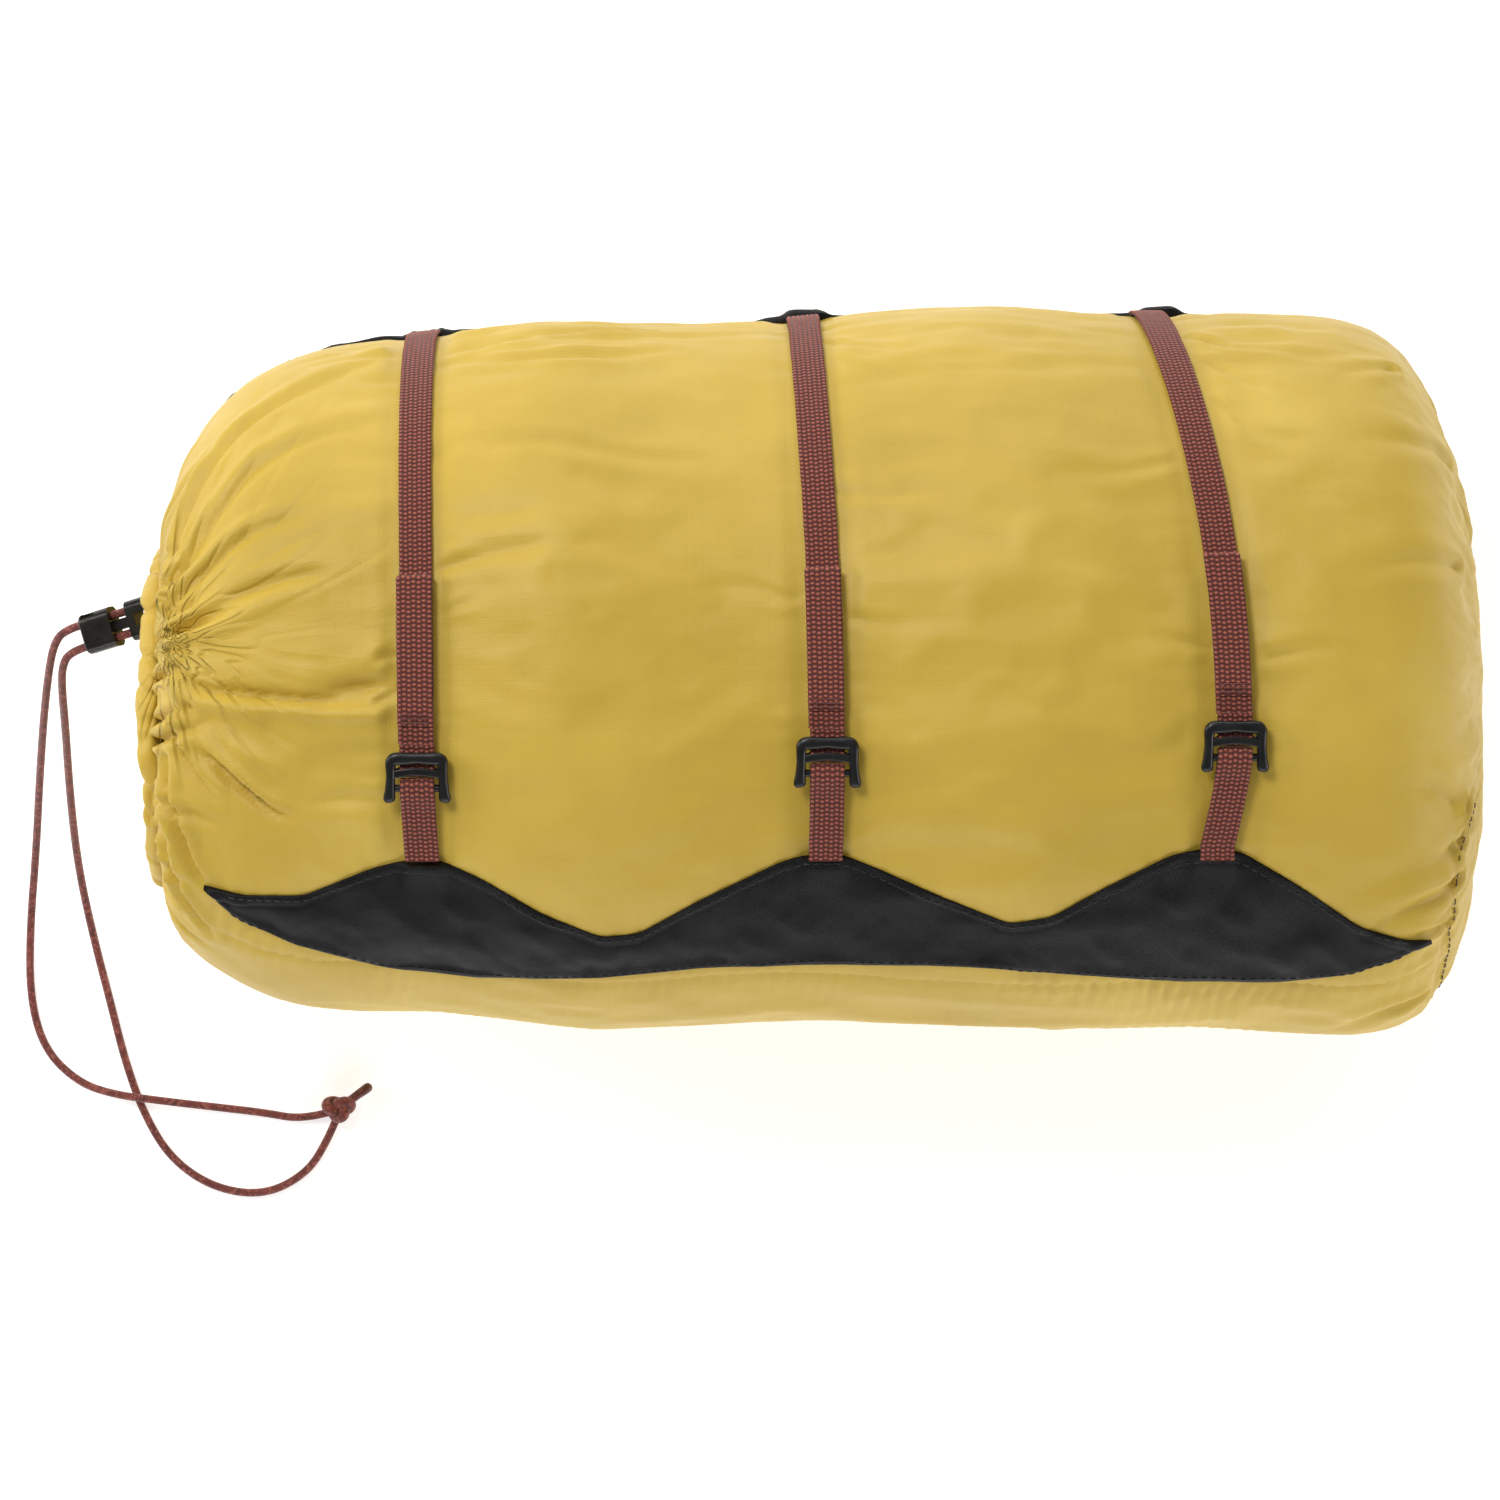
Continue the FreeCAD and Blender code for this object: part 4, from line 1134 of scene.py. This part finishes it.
def pleat_fall(angle, pleats, width):
    """From 0 between gathers to 1 in the middle of the nearest one."""
    gap = min(abs((angle - p + math.pi) % (2 * math.pi) - math.pi) for p in pleats)
    return math.exp(-(gap / width) ** 2)


def make_hem(pleats):
    """The drawcord's tunnel: fabric sewn into a tube and drawn up round the mouth."""
    turns, count = 34, 620
    verts, uv = [], []
    weights = {p: 0.35 + 0.65 * ((k * 7) % 5) / 4 for k, p in enumerate(pleats)}
    deep = [p for p in pleats if weights[p] > 0.6]
    slight = [p for p in pleats if weights[p] <= 0.6]
    for i in range(turns):
        share = i / (turns - 1)
        theta = math.radians(28 + 318 * share)
        for k in range(count):
            angle = 2 * math.pi * k / count
            sewn = 0.35 + 0.65 * math.cos(share * math.pi / 2)
            fall = pleat_fall(angle + 0.05 * math.sin(theta), deep, 0.034)
            fall += 0.3 * pleat_fall(angle, slight, 0.05)
            wobble = math.sin(3 * angle + 0.6) * 0.5 + math.sin(7 * angle + 2.0) * 0.35
            wobble += math.sin(17 * angle) * 0.18
            size = HEM_SIZE + (wobble * 0.5 - 1.2 * fall * sewn) * MM
            radius = HEM_RADIUS + size * math.sin(theta) + 0.35 * wobble * MM
            x = HEM_X + size * math.cos(theta) - wobble * 0.45 * MM
            verts.append(ring_point(x, radius, angle + 0.012 * math.sin(theta * 2 + 9 * angle)))
            uv.append((size * theta, angle * HEM_RADIUS * 1.5))
    piece = mesh_object("mouth_hem", verts, grid_faces(turns, count))
    set_uv(piece, uv)
    roughen(piece, 0.28 * MM, 3.5 * MM, 5)
    piece.data.materials.append(shell_material())
    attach(piece, "sack")
    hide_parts("drawcord_tunnel")


def make_flap(pleats):
    """The inner flap that closes the mouth, creased towards the hem."""
    rings, count = 64, 300
    verts, uv = [], []
    for i in range(rings):
        share = (i + 0.15) / (rings - 0.85)
        for k in range(count):
            angle = 2 * math.pi * k / count
            fall = pleat_fall(angle, pleats, 0.06) + 0.5 * pleat_fall(angle + 0.09, pleats, 0.05)
            x = HEM_X + 4.2 * MM - FLAP_BULGE * (1 - share ** 2.4) ** 0.8
            x += 1.7 * MM * fall * share ** 1.5
            x += 0.5 * MM * math.sin(5 * angle + 4 * share) * share * (1 - share)
            radius = FLAP_EDGE * share
            verts.append(ring_point(x, radius, angle + 0.22 * (1 - share) * math.sin(2 * angle)))
            uv.append((radius * math.sin(angle), radius * math.cos(angle)))
    faces = grid_faces(rings, count)
    faces.append(tuple(range(count)))
    piece = mesh_object("inner_flap", verts, faces)
    set_uv(piece, uv)
    roughen(piece, 0.5 * MM, 9 * MM, 7)
    roughen(piece, 0.2 * MM, 3 * MM, 8)
    piece.data.materials.append(shell_material())
    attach(piece, "sack")
    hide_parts("mouth_flap")


# ---------------------------------------------------------------- reinforcement panels
# The panels' edges in mm: x and y for the front one, x and z for the rear one
FRONT_UPPER = [(-177, -62), (-165, -65), (-147, -65), (-127, -57), (-117, -54.5), (-107, -54.5), (-95, -60),
               (-78, -70), (-61, -77), (-50, -76), (-32, -66), (-9, -55), (-2, -53), (9, -53), (19, -57),
               (37, -65), (57, -73), (69, -71), (83, -63), (103, -53), (113, -51), (123, -52), (140, -62),
               (158, -74), (172, -78), (180, -78)]
FRONT_LOWER = [(-177, -62), (-168, -71), (-151, -79), (-125, -86), (-97, -89), (-62, -89), (-32, -86),
               (-3, -85), (32, -85), (55, -86), (78, -88), (108, -90), (137, -90), (154, -88), (168, -84),
               (180, -78)]
REAR_UPPER = [(-176, 78), (-150, 84), (-127, 91.5), (-119, 92.6), (-110, 92.6), (-98, 88), (-78, 76),
              (-62, 67), (-50, 68), (-30, 80), (-10, 92), (-5, 92.6), (3, 92.6), (14, 88), (34, 74),
              (50, 66), (62, 67), (80, 80), (97, 92), (101, 92.6), (109, 92.6), (118, 89), (140, 78),
              (160, 68), (181, 62)]
REAR_LOWER = [(-176, 78), (-160, 66), (-130, 57), (-95, 53), (-30, 52), (40, 52), (110, 52), (150, 54),
              (181, 62)]
REAR_STRAPS = (-114.5, -1.0, 105.0)     # where the straps meet the rear panel, x in mm
EDGE_ROUND = 2.5                        # how far the edges' corners are rounded over, in mm
SLANT = np.array([[0.75, -0.35, 0.0], [0.55, 0.3, 0.0], [0.55, 0.3, 0.4]])   # slants the noise's bumps


def edge_y(line, x):
    """The second value of a panel's edge at x."""
    return np.interp(x, [p[0] for p in line], [p[1] for p in line])


def smooth_edge(line, x, reach):
    """The line's value at x, with its corners rounded over that reach."""
    return sum(edge_y(line, x + reach * step) for step in (-1, -0.5, 0, 0.5, 1)) / 5


def cast(tree, origin, ray):
    """Where a ray meets the sack, and the outward normal there, or two Nones."""
    place, normal = tree.ray_cast(Vector(origin), Vector(ray), 0.4)[:2]
    if place is None:
        return None, None
    if normal.dot(Vector(ray)) > 0:
        normal = -normal
    return np.array(place), np.array(normal)


def make_panel(name, node, tree, upper, lower, start_at, ray, lift_at):
    """A shaped panel sewn on the sack, with turned edges. start_at turns plan values into a ray's start."""
    columns, rows = 620, 34
    xs = np.linspace(upper[0][0] + 0.3, upper[-1][0] - 0.3, columns)
    lows, highs = smooth_edge(lower, xs, EDGE_ROUND), smooth_edge(upper, xs, EDGE_ROUND)
    shares = [0.5 - 0.5 * math.cos(math.pi * (i / (rows - 1))) for i in range(rows)]
    points, normals, uv = [], [], []
    for share in shares:
        for x, low, high in zip(xs, lows, highs):
            value = low + (high - low) * share
            place, normal = cast(tree, start_at(x, value), ray)
            if place is None:
                place, normal = points[-1], normals[-1]
            points.append(place)
            normals.append(normal)
            uv.append((x * MM, value * MM))
    points = np.array(points).reshape(rows, columns, 3)
    normals = np.array(normals).reshape(rows, columns, 3)
    for _ in range(3):
        normals[1:-1, 1:-1] += normals[:-2, 1:-1] + normals[2:, 1:-1] + normals[1:-1, :-2] + normals[1:-1, 2:]
    normals = unit(normals)
    height = np.zeros((rows, columns))
    for i, share in enumerate(shares):
        for j, x in enumerate(xs):
            inside_top = (highs[j] - lows[j]) * (1 - share)
            inside_low = (highs[j] - lows[j]) * share
            turned = 0.35 * bell(inside_top - 1.4, 1.3) + 0.3 * bell(inside_low - 1.2, 1.2)
            thread = 0.3 * bell(inside_top - 2.7, 0.5)
            height[i, j] = (0.62 + turned - thread + lift_at(x, inside_top)) * MM
    wave = grid_noise(points, 13 * MM, 33, (1.0, 0.55, 0.55))
    fine = grid_noise(points, 5 * MM, 34)
    slant = grid_noise(points @ SLANT, 7 * MM, 35)
    inner = np.sin(np.linspace(0, math.pi, rows))[:, None] ** 0.7
    height += (0.8 * wave + 0.3 * fine + 1.15 * np.clip(slant, -0.2, 1) + 0.5) * MM * inner
    height[0] = height[-1] = 0.12 * MM
    height[:, 0] = height[:, -1] = 0.12 * MM
    grid = points + normals * height[..., None]
    piece = mesh_object(name, grid.reshape(-1, 3), grid_faces(rows, columns, close=False))
    set_uv(piece, uv)
    piece.data.materials.append(panel_material())
    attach(piece, "sack")
    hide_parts(node)
    return grid, normals


def make_stitches(name, points, normals, pitch, length, radius, material, body="sack"):
    """A row of stitches along a line, each a short thread that dips into the cloth at both ends."""
    points, normals = np.asarray(points), np.asarray(normals)
    s = distances_along(points)
    verts, faces = [], []
    shares = np.array([0.0, 0.12, 0.35, 0.65, 0.88, 1.0])           # along one stitch
    rise = radius * np.array([-1.3, 0.1, 0.6, 0.6, 0.1, -1.3])      # and its height off the cloth there
    sides = 6
    for start in np.arange(pitch * 0.5, s[-1] - length, pitch):
        at = start + length * shares
        up = unit(rows_at(at, s, normals))
        line = rows_at(at, s, points) + up * rise[:, None]
        run = unit(np.gradient(line, axis=0))
        side = unit(np.cross(run, up))
        over = np.cross(side, run)
        faces += tube_faces(len(line), sides, len(verts))
        for i in range(len(line)):
            for k in range(sides):
                angle = 2 * math.pi * k / sides
                ring = side[i] * math.cos(angle) + over[i] * math.sin(angle)
                verts.append(line[i] + ring * radius)
    piece = mesh_object(name, verts, faces)
    piece.data.materials.append(material)
    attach(piece, body)


def lift_over(feet, amount, x, inside_top):
    """How far a panel's upper edge rises over the webbing at these feet."""
    near = max(math.exp(-((x - foot) / 6.4) ** 6) for foot in feet)
    return near * amount * bell(inside_top, 6.0)


def front_lift(x, inside_top):
    """The front panel's edge rises over the ends of the three anchor loops."""
    feet = [(strap_x(strap, -0.053) + ANCHOR_LEAN[strap[0]]) / MM for strap in STRAPS]
    return lift_over(feet, 2.3, x, inside_top)


def rear_lift(x, inside_top):
    """The rear panel's edge rises over the three straps."""
    return lift_over(REAR_STRAPS, 1.7, x, inside_top)


def make_panels(tree):
    """Both reinforcement panels, each with a row of stitches near its upper and its lower edge."""
    black = thread_material("black_thread", (30, 29, 32))
    jobs = (
        ("front_panel", "front_reinforcement", FRONT_UPPER, FRONT_LOWER, lambda x, v: (x * MM, v * MM, 0.3),
         (0, 0, -1), front_lift, (0.370, 0.045), 0.0112),
        ("rear_panel", "rear_reinforcement", REAR_UPPER, REAR_LOWER, lambda x, v: (x * MM, 0.3, v * MM),
         (0, -1, 0), rear_lift, (0.365, 0.043), 0.0103),
    )
    for name, node, upper, lower, start_at, ray, lift_at, flat, area in jobs:
        grid, normals = make_panel(name, node, tree, upper, lower, start_at, ray, lift_at)
        for word, row in (("upper", -7), ("lower", 4)):
            make_stitches(f"{name}_{word}_stitches", grid[row, 12:-12], normals[row, 12:-12],
                          2.9 * MM, 2.0 * MM, 0.17 * MM, black)


def make_seam_stitches(grid, normals):
    """The thread of the end seam and of the seam behind the hem."""
    dark = thread_material("seam_thread", (96, 78, 40))
    flat_index = np.argmax(end_distance(grid) > 0, axis=0)
    columns = np.arange(grid.shape[1])
    line, up = grid[flat_index, columns], normals[flat_index, columns]
    line = smooth_line(np.concatenate([line, line[:1]]), 6)
    up = np.concatenate([up, up[:1]])
    above = (line[:, 2] > 3 * MM) & ((line[:, 2] < 0.092) | (line[:, 1] < -0.036))
    runs = np.split(np.arange(len(line)), np.nonzero(~above)[0])
    k = 0
    for run in runs:
        run = run[above[run]]
        if len(run) > 12:
            make_stitches(f"end_stitches_{k}", line[run] + up[run] * 0.25 * MM, up[run], 3.1 * MM, 1.9 * MM,
                          0.22 * MM, dark)
            k += 1
    pale = thread_material("hem_thread", (170, 138, 58))
    line, up = [], []
    for angle in np.arange(720) * (2 * math.pi / 720):
        line.append(ring_point(HEM_X + 3.2 * MM, HEM_RADIUS + 3.6 * MM, angle))
        up.append((-0.35, math.sin(angle), math.cos(angle)))
    make_stitches("hem_stitches", line, up, 2.8 * MM, 1.8 * MM, 0.2 * MM, pale)


# ---------------------------------------------------------------- webbing
BEAD = 1.4 * MM            # length of one bead of the weave
BEAD_COLUMNS = 7
BEAD_SHIFT = 0.3 * MM      # how far every second column of the beads is set along the webbing


def make_ribbon(name, centre, side, node, body, seed, wide=1.0):
    """Woven webbing along a line: beads on both faces and rounded woven edges."""
    s = distances_along(centre)
    rows = int(s[-1] / (0.28 * MM))
    at = np.linspace(0, s[-1], rows)
    centre, side = rows_at(at, s, centre), unit(rows_at(at, s, side))
    normal = unit(np.cross(side, np.gradient(centre, axis=0)))
    across = 29
    half, thick = WEB_WIDTH / 2 * wide, WEB / 2 - 0.07 * MM
    u = np.linspace(-1, 1, across)
    column = (u * 0.5 + 0.5) * BEAD_COLUMNS
    odd = np.floor(np.clip(column, 0, BEAD_COLUMNS - 0.01)) % 2
    ridge = np.abs(np.sin(column * math.pi)) ** 0.8
    thin = (1 - np.abs(u) ** 12) ** 0.5
    wear = value_noise(np.stack([at, at * 0 + seed, at * 0], axis=1), 6 * MM, seed)
    column_uv = (u * 0.5 + 0.5) * WEB_WIDTH
    verts, uv = [], []
    for i in range(rows):
        bead = 0.5 + 0.5 * np.sin(2 * math.pi * (at[i] + odd * BEAD_SHIFT) / BEAD)
        lump = 0.17 * MM * bead * ridge + 0.02 * MM * wear[i]
        edge = half + 0.1 * MM * math.sin(2 * math.pi * at[i] / BEAD) + 0.08 * MM * wear[i]
        middle = centre[i] + side[i] * (u * edge)[:, None]
        rise = normal[i] * (thick * thin + lump)[:, None]
        verts += [middle + rise, (middle - rise)[::-1]]
        face_uv = np.stack([column_uv, np.full(across, at[i])], axis=1)
        uv += [face_uv, face_uv[::-1]]
    verts, uv = np.concatenate(verts), np.concatenate(uv)
    ring = 2 * across
    faces = grid_faces(rows, ring)
    faces.append(tuple(range(ring)))
    faces.append(tuple((rows - 1) * ring + k for k in reversed(range(ring))))
    piece = mesh_object(name, verts, faces)
    set_uv(piece, uv)
    piece.data.materials.append(webbing_material())
    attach(piece, body)
    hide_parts(node)


def buckle_line(buckle, stops):
    """A smooth line through (v, w) stops in a buckle's own axes."""
    points = np.array([tuple(buckle.point(v, w)) for v, w in stops])
    return densify(points, 0.3 * MM)


def make_anchor(strap, buckle):
    """The short loop from the front panel round the buckle's bar and back."""
    n = strap[0]
    end_v = (ANCHOR_END_Y - buckle.origin.y) / (buckle.v.y * MM)
    drop = 0.47 - end_v ** 2 / 230.0
    reach, high = 2.45, 1.95
    stops = [(end_v - 1.6, drop + 0.5), (end_v + 1.5, drop + 0.62), (-13.0, 0.95), (-8.5, 1.15), (-4.6, 1.35)]
    for degrees in range(-80, 81, 20):
        a = math.radians(degrees)
        stops.append((-3.2 + reach * math.cos(a), 3.3 + high * math.sin(a)))
    stops += [(-4.6, 5.1), (-7.0, 4.3), (-10.0, 3.15), (-13.5, 2.35), (end_v + 1.5, drop + 1.95),
              (end_v - 1.6, drop + 1.75)]
    line = buckle_line(buckle, stops)
    fall = np.clip((buckle.origin.y - 0.003 - line[:, 1]) / 0.026, 0, 1)
    line[:, 0] += ANCHOR_LEAN[n] * fall ** 1.3
    side = np.tile(buckle.u, (len(line), 1))
    make_ribbon(f"anchor_webbing_{n}", line, side, f"anchor_loop_{n}", "sack", 40 + n, 0.98)


def make_wrap(strap, buckle):
    """The strap's bend over the toothed bar and out under the top bar."""
    n = strap[0]
    stops = [(0.55, 0.75), (0.5, 1.8), (0.55, 2.9), (0.95, 3.6), (1.7, 3.85), (2.5, 3.7), (3.1, 3.15),
             (3.9, 2.6), (5.2, 2.42), (7.2, 2.4), (9.4, 2.4)]
    line = buckle_line(buckle, stops)
    side = np.tile(buckle.u, (len(line), 1))
    make_ribbon(f"wrap_webbing_{n}", line, side, f"strap_wrap_{n}", f"buckle_unit_{n}", 50 + n)


def make_pull_loop(strap, path):
    """The strap's tail: single webbing to a tack, then folded back on itself as a tab to pull."""
    n = strap[0]
    low, high = TAIL_HEIGHT - 0.25 * MM, TAIL_HEIGHT + 0.92 * MM
    bend_at = LOOP_START + LOOP_LENGTHS[n] * MM - 0.6 * MM
    out = np.arange(LOOP_START - 0.6 * MM, bend_at, 0.4 * MM)
    back = out[::-1][:-13]
    bend = np.radians(np.arange(-90, 91, 15))
    s = np.concatenate([out, bend_at + 0.6 * MM * np.cos(bend), back])
    round_bend = (low + high) / 2 + (high - low) / 2 * np.sin(bend)
    h = np.concatenate([np.full(len(out), low), round_bend, np.full(len(back), high)])
    h[-6:] -= np.linspace(0, 0.55, 6) * MM
    centre, _, side = along_path(path, s, h)
    make_ribbon(f"loop_webbing_{n}", centre, side, f"pull_loop_{n}", f"pull_loop_unit_{n}", 60 + n, 1.03)
    tack = LOOP_START + 5.6 * MM
    red = thread_material("webbing_thread", (112, 52, 46))
    across = np.linspace(-4.3, 4.3, 40) * MM
    tack_height = np.full(40, high + WEB / 2 + 0.08 * MM)
    for k in range(3):
        centre, normal, side = along_path(path, np.full(40, tack + k * 1.1 * MM), tack_height)
        line = centre + side * across[:, None]
        make_stitches(f"tack_{n}_{k}", line, normal, 0.95 * MM, 0.85 * MM, 0.2 * MM, red,
                      body=f"pull_loop_unit_{n}")


def make_strap(strap, path):
    """The standing strap, from under its buckle over the top and down to the rear panel's upper edge."""
    n = strap[0]
    s, middle = path[0], path[1]
    crossed = np.nonzero((middle[:, 1] > 0.05) & (middle[:, 2] < 0.0925))[0]
    stop = s[crossed[0]] if len(crossed) else s[-1]
    along = np.arange(1.9 * MM, stop, 0.5 * MM)
    sway = 0.25 * MM * np.sin(along / (31 * MM) + n) * np.clip(along / (30 * MM), 0, 1)
    centre, _, side = along_path(path, along, np.full(len(along), STRAP_HEIGHT))
    centre += side * sway[:, None]
    make_ribbon(f"strap_webbing_{n}", centre, side, f"strap_{n}", "sack", 70 + n, 0.955)


def make_webbing(base):
    """All the webbing of the three straps, laid on the plain grid."""
    tree = grid_tree(base)
    for strap in STRAPS:
        buckle = BuckleFrame(strap)
        path = strap_path(tree, strap)
        make_strap(strap, path)
        make_wrap(strap, buckle)
        make_pull_loop(strap, path)
        make_anchor(strap, buckle)


# ---------------------------------------------------------------- hardware
# One half of a buckle's outer frame, as bar_points takes its stops
FRAME_STOPS = [(-8.1, -7.3, 0.8, 3.5, 0.9), (-8.1, -6.8, 1.5, 3.6, 1.4), (-7.95, -5.8, 1.75, 3.7, 1.65),
               (-7.75, -4.0, 1.55, 3.85, 1.7), (-7.6, -1.5, 1.4, 3.9, 1.7), (-7.5, 0.8, 1.35, 3.95, 1.7),
               (-7.5, 3.0, 1.45, 4.05, 1.7), (-7.3, 4.6, 1.7, 4.25, 1.55), (-6.6, 5.45, 1.85, 4.4, 1.4),
               (-5.2, 5.7, 1.85, 4.5, 1.35), (-3.0, 5.72, 1.75, 4.5, 1.3), (0.0, 5.85, 1.55, 4.5, 1.3)]


def bar_points(buckle, stops, verts, faces, around=16, square=2.8):
    """Adds a rounded bar through stops of (u, v, half width, middle w, half height), in mm."""
    line = densify(stops, 0.45)
    tangent = unit(np.gradient(line[:, :2], axis=0))
    faces += tube_faces(len(line), around, len(verts))
    for (u, v, wide, w, high), (tu, tv) in zip(line, tangent):
        for k in range(around):
            angle = 2 * math.pi * (k + 0.5) / around
            c, d = math.cos(angle), math.sin(angle)
            a = math.copysign(abs(c) ** (2 / square), c) * wide
            b = math.copysign(abs(d) ** (2 / square), d) * high
            place = buckle.point(v + tu * a, w + b) + buckle.u * ((u - tv * a) * MM)
            verts.append(place)


def make_buckle(buckle, material):
    """A ladder-lock buckle: an open frame with flared feet, the anchor loop's bar and the toothed bar."""
    n = buckle.number
    verts, faces = [], []
    mirrored = [(-u, v, a, w, b) for u, v, a, w, b in reversed(FRAME_STOPS[:-1])]
    bar_points(buckle, FRAME_STOPS + mirrored, verts, faces)
    for half, bar, square in ((7.4, (-3.2, 1.1, 3.3, 1.1), 2.0), (7.3, (1.75, 0.75, 2.3, 0.55), 4.0)):
        bar_points(buckle, [(u, *bar) for u in (-half, 0, half)], verts, faces, square=square)
    arch = [(-7.0, 1.0), (-5.0, 1.45), (-2.5, 1.8), (0.0, 1.95), (2.5, 1.8), (5.0, 1.45), (7.0, 1.0)]
    bar_points(buckle, [(u, v, 1.15, 4.85, 0.4) for u, v in arch], verts, faces, square=3.0)
    for k in range(9):
        u = (k - 4) * 1.25
        tip = (2.55, 0.3, 2.75, 0.3)
        tooth = [(u - 0.34, *tip), (u, 2.6, 0.38, 2.8, 0.35), (u + 0.34, *tip)]
        bar_points(buckle, tooth, verts, faces, around=8, square=2.0)
    piece = mesh_object(f"buckle_frame_{n}", verts, faces)
    piece.data.materials.append(material)
    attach(piece, f"buckle_unit_{n}")
    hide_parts(f"buckle_{n}")


SPRING = (16.3, 23.1)      # where the lock's spring starts and ends, in mm along the lock's axis


def make_spring():
    """The round-wire spring inside the lock, built at one fixed length: the real spring shortens as the
    plunger is pressed, but nothing here shortens this one.
    """
    side = LOCK_AXIS.orthogonal().normalized()
    other = LOCK_AXIS.cross(side)
    wire, radius, coils, around = 0.24 * MM, 1.15 * MM, 4.5, 10
    count = 200
    verts = []
    for k in range(count):
        share = k / (count - 1)
        turn = 2 * math.pi * coils * share
        out = side * math.cos(turn) + other * math.sin(turn)
        s = SPRING[0] * MM + wire + ((SPRING[1] - SPRING[0]) * MM - 2 * wire) * share
        middle = LOCK_START + LOCK_AXIS * s + out * radius
        for j in range(around):
            angle = 2 * math.pi * j / around
            verts.append(middle + out * (wire * math.cos(angle)) + LOCK_AXIS * (wire * math.sin(angle)))
    piece = mesh_object("lock_spring", verts, tube_faces(count, around))
    piece.data.materials.append(steel_material())
    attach(piece, "sack")
    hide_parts("cord_lock_spring")
    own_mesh(piece)
    return piece


def finish_cad(node, material, width):
    """The CAD node itself, with its edges eased and a finish."""
    piece = frame["nodes"][node]
    bevel = piece.modifiers.new("eased", "BEVEL")
    bevel.width = width
    bevel.segments = 3
    bevel.limit_method = "ANGLE"
    bevel.angle_limit = math.radians(35)
    bevel.harden_normals = False
    piece.data.materials.clear()
    piece.data.materials.append(material)


def make_hardware():
    """The three buckles, and the finish of the CAD nodes that stay in the picture."""
    buckle_black = plastic_material("buckle_plastic_black", (12, 12, 13), (26, 26, 28), 0.24, 0.44)
    lock_black = plastic_material("lock_plastic_black", (17, 16, 13), (35, 33, 26), 0.14, 0.34)
    for strap in STRAPS:
        make_buckle(BuckleFrame(strap), buckle_black)
    finish_cad("cord_lock_barrel", lock_black, 0.6 * MM)
    finish_cad("cord_lock_plunger", lock_black, 0.5 * MM)
    materials = frame["nodes"]["drawcord_in_tunnel"].data.materials
    materials.clear()
    materials.append(cord_material())


# ---------------------------------------------------------------- surroundings
WHITE = (1.0, 1.0, 1.0)
FLOOR_HALF = 4              # half the floor's width
FLOOR_DROP = -0.0004        # the floor's z, a little below the sack's underside
LIGHTS = (                  # name, place, height of the point that it faces, size, power, colour
    ("side_far", (0.1, 1.3, 0.62), 0.08, (1.6, 0.5), 7.4, WHITE),
    ("side_near", (0.0, -1.3, 0.55), 0.08, (1.6, 0.5), 6.6, WHITE),
    ("right", (1.3, -0.5, 0.6), 0.08, (0.6, 0.6), 5.2, WHITE),
    ("left", (-1.3, 0.3, 0.6), 0.08, (0.5, 0.7), 6, WHITE),
    ("above", (-0.6, 0.7, 1.5), 0.1, (0.5, 0.5), 12.5, (1.0, 0.99, 0.97)),
)


def add_light(name, place, faces_z, size, power, colour):
    """A soft rectangular light that faces a point on the Z axis."""
    data = bpy.data.lights.new(name, "AREA")
    data.shape = "RECTANGLE"
    data.size, data.size_y = size
    data.energy = power
    data.color = colour
    lamp = add_object(name, data)
    lamp.location = place
    lamp.rotation_euler = (Vector((0, 0, faces_z)) - Vector(place)).to_track_quat("-Z", "Y").to_euler()


def make_surroundings():
    """A white floor, a pale studio and its lights."""
    corners = [(x * FLOOR_HALF, y * FLOOR_HALF, FLOOR_DROP) for x, y in ((-1, -1), (1, -1), (1, 1), (-1, 1))]
    floor = mesh_object("floor", corners, [(0, 1, 2, 3)], smooth=False)
    s = Shading("floor_white", 0.9, Specular_IOR_Level=0.1)
    s.shader.inputs["Base Color"].default_value = (0.82, 0.82, 0.82, 1)
    s.shader.inputs["Emission Color"].default_value = (1, 1, 1, 1)
    s.shader.inputs["Emission Strength"].default_value = 0.58
    floor.data.materials.append(s.material)
    world = bpy.data.worlds.new("studio")
    world.use_nodes = True
    background = world.node_tree.nodes["Background"]
    background.inputs["Color"].default_value = (*WHITE, 1)
    background.inputs["Strength"].default_value = 0.23
    bpy.context.scene.world = world
    bpy.context.scene.view_settings.view_transform = "Standard"
    for light in LIGHTS:
        add_light(*light)


# ---------------------------------------------------------------- everything
def make_cords():
    """The knot with its tail, the lock's spring, and the two strands between the lock and the knot."""
    knot, tail = make_knot()
    spring = make_spring()
    lock = [frame["nodes"][name] for name in ("cord_lock_barrel", "cord_lock_plunger", "drawcord_in_tunnel")]
    lock.append(spring)
    make_strand("strand_a", "drawcord_strand_a", -CORD_SPACING / 2, STRAND_A)
    make_strand("strand_b", "drawcord_strand_b", CORD_SPACING / 2, STRAND_B)


make_camera()
make_surroundings()
make_cords()
grid, pleats = shell_grid()
make_shell(grid)
make_seam_stitches(grid, grid_normals(grid))
make_hem(pleats)
make_flap(pleats)
make_panels(grid_tree(grid))
make_webbing(base_grid())
make_hardware()
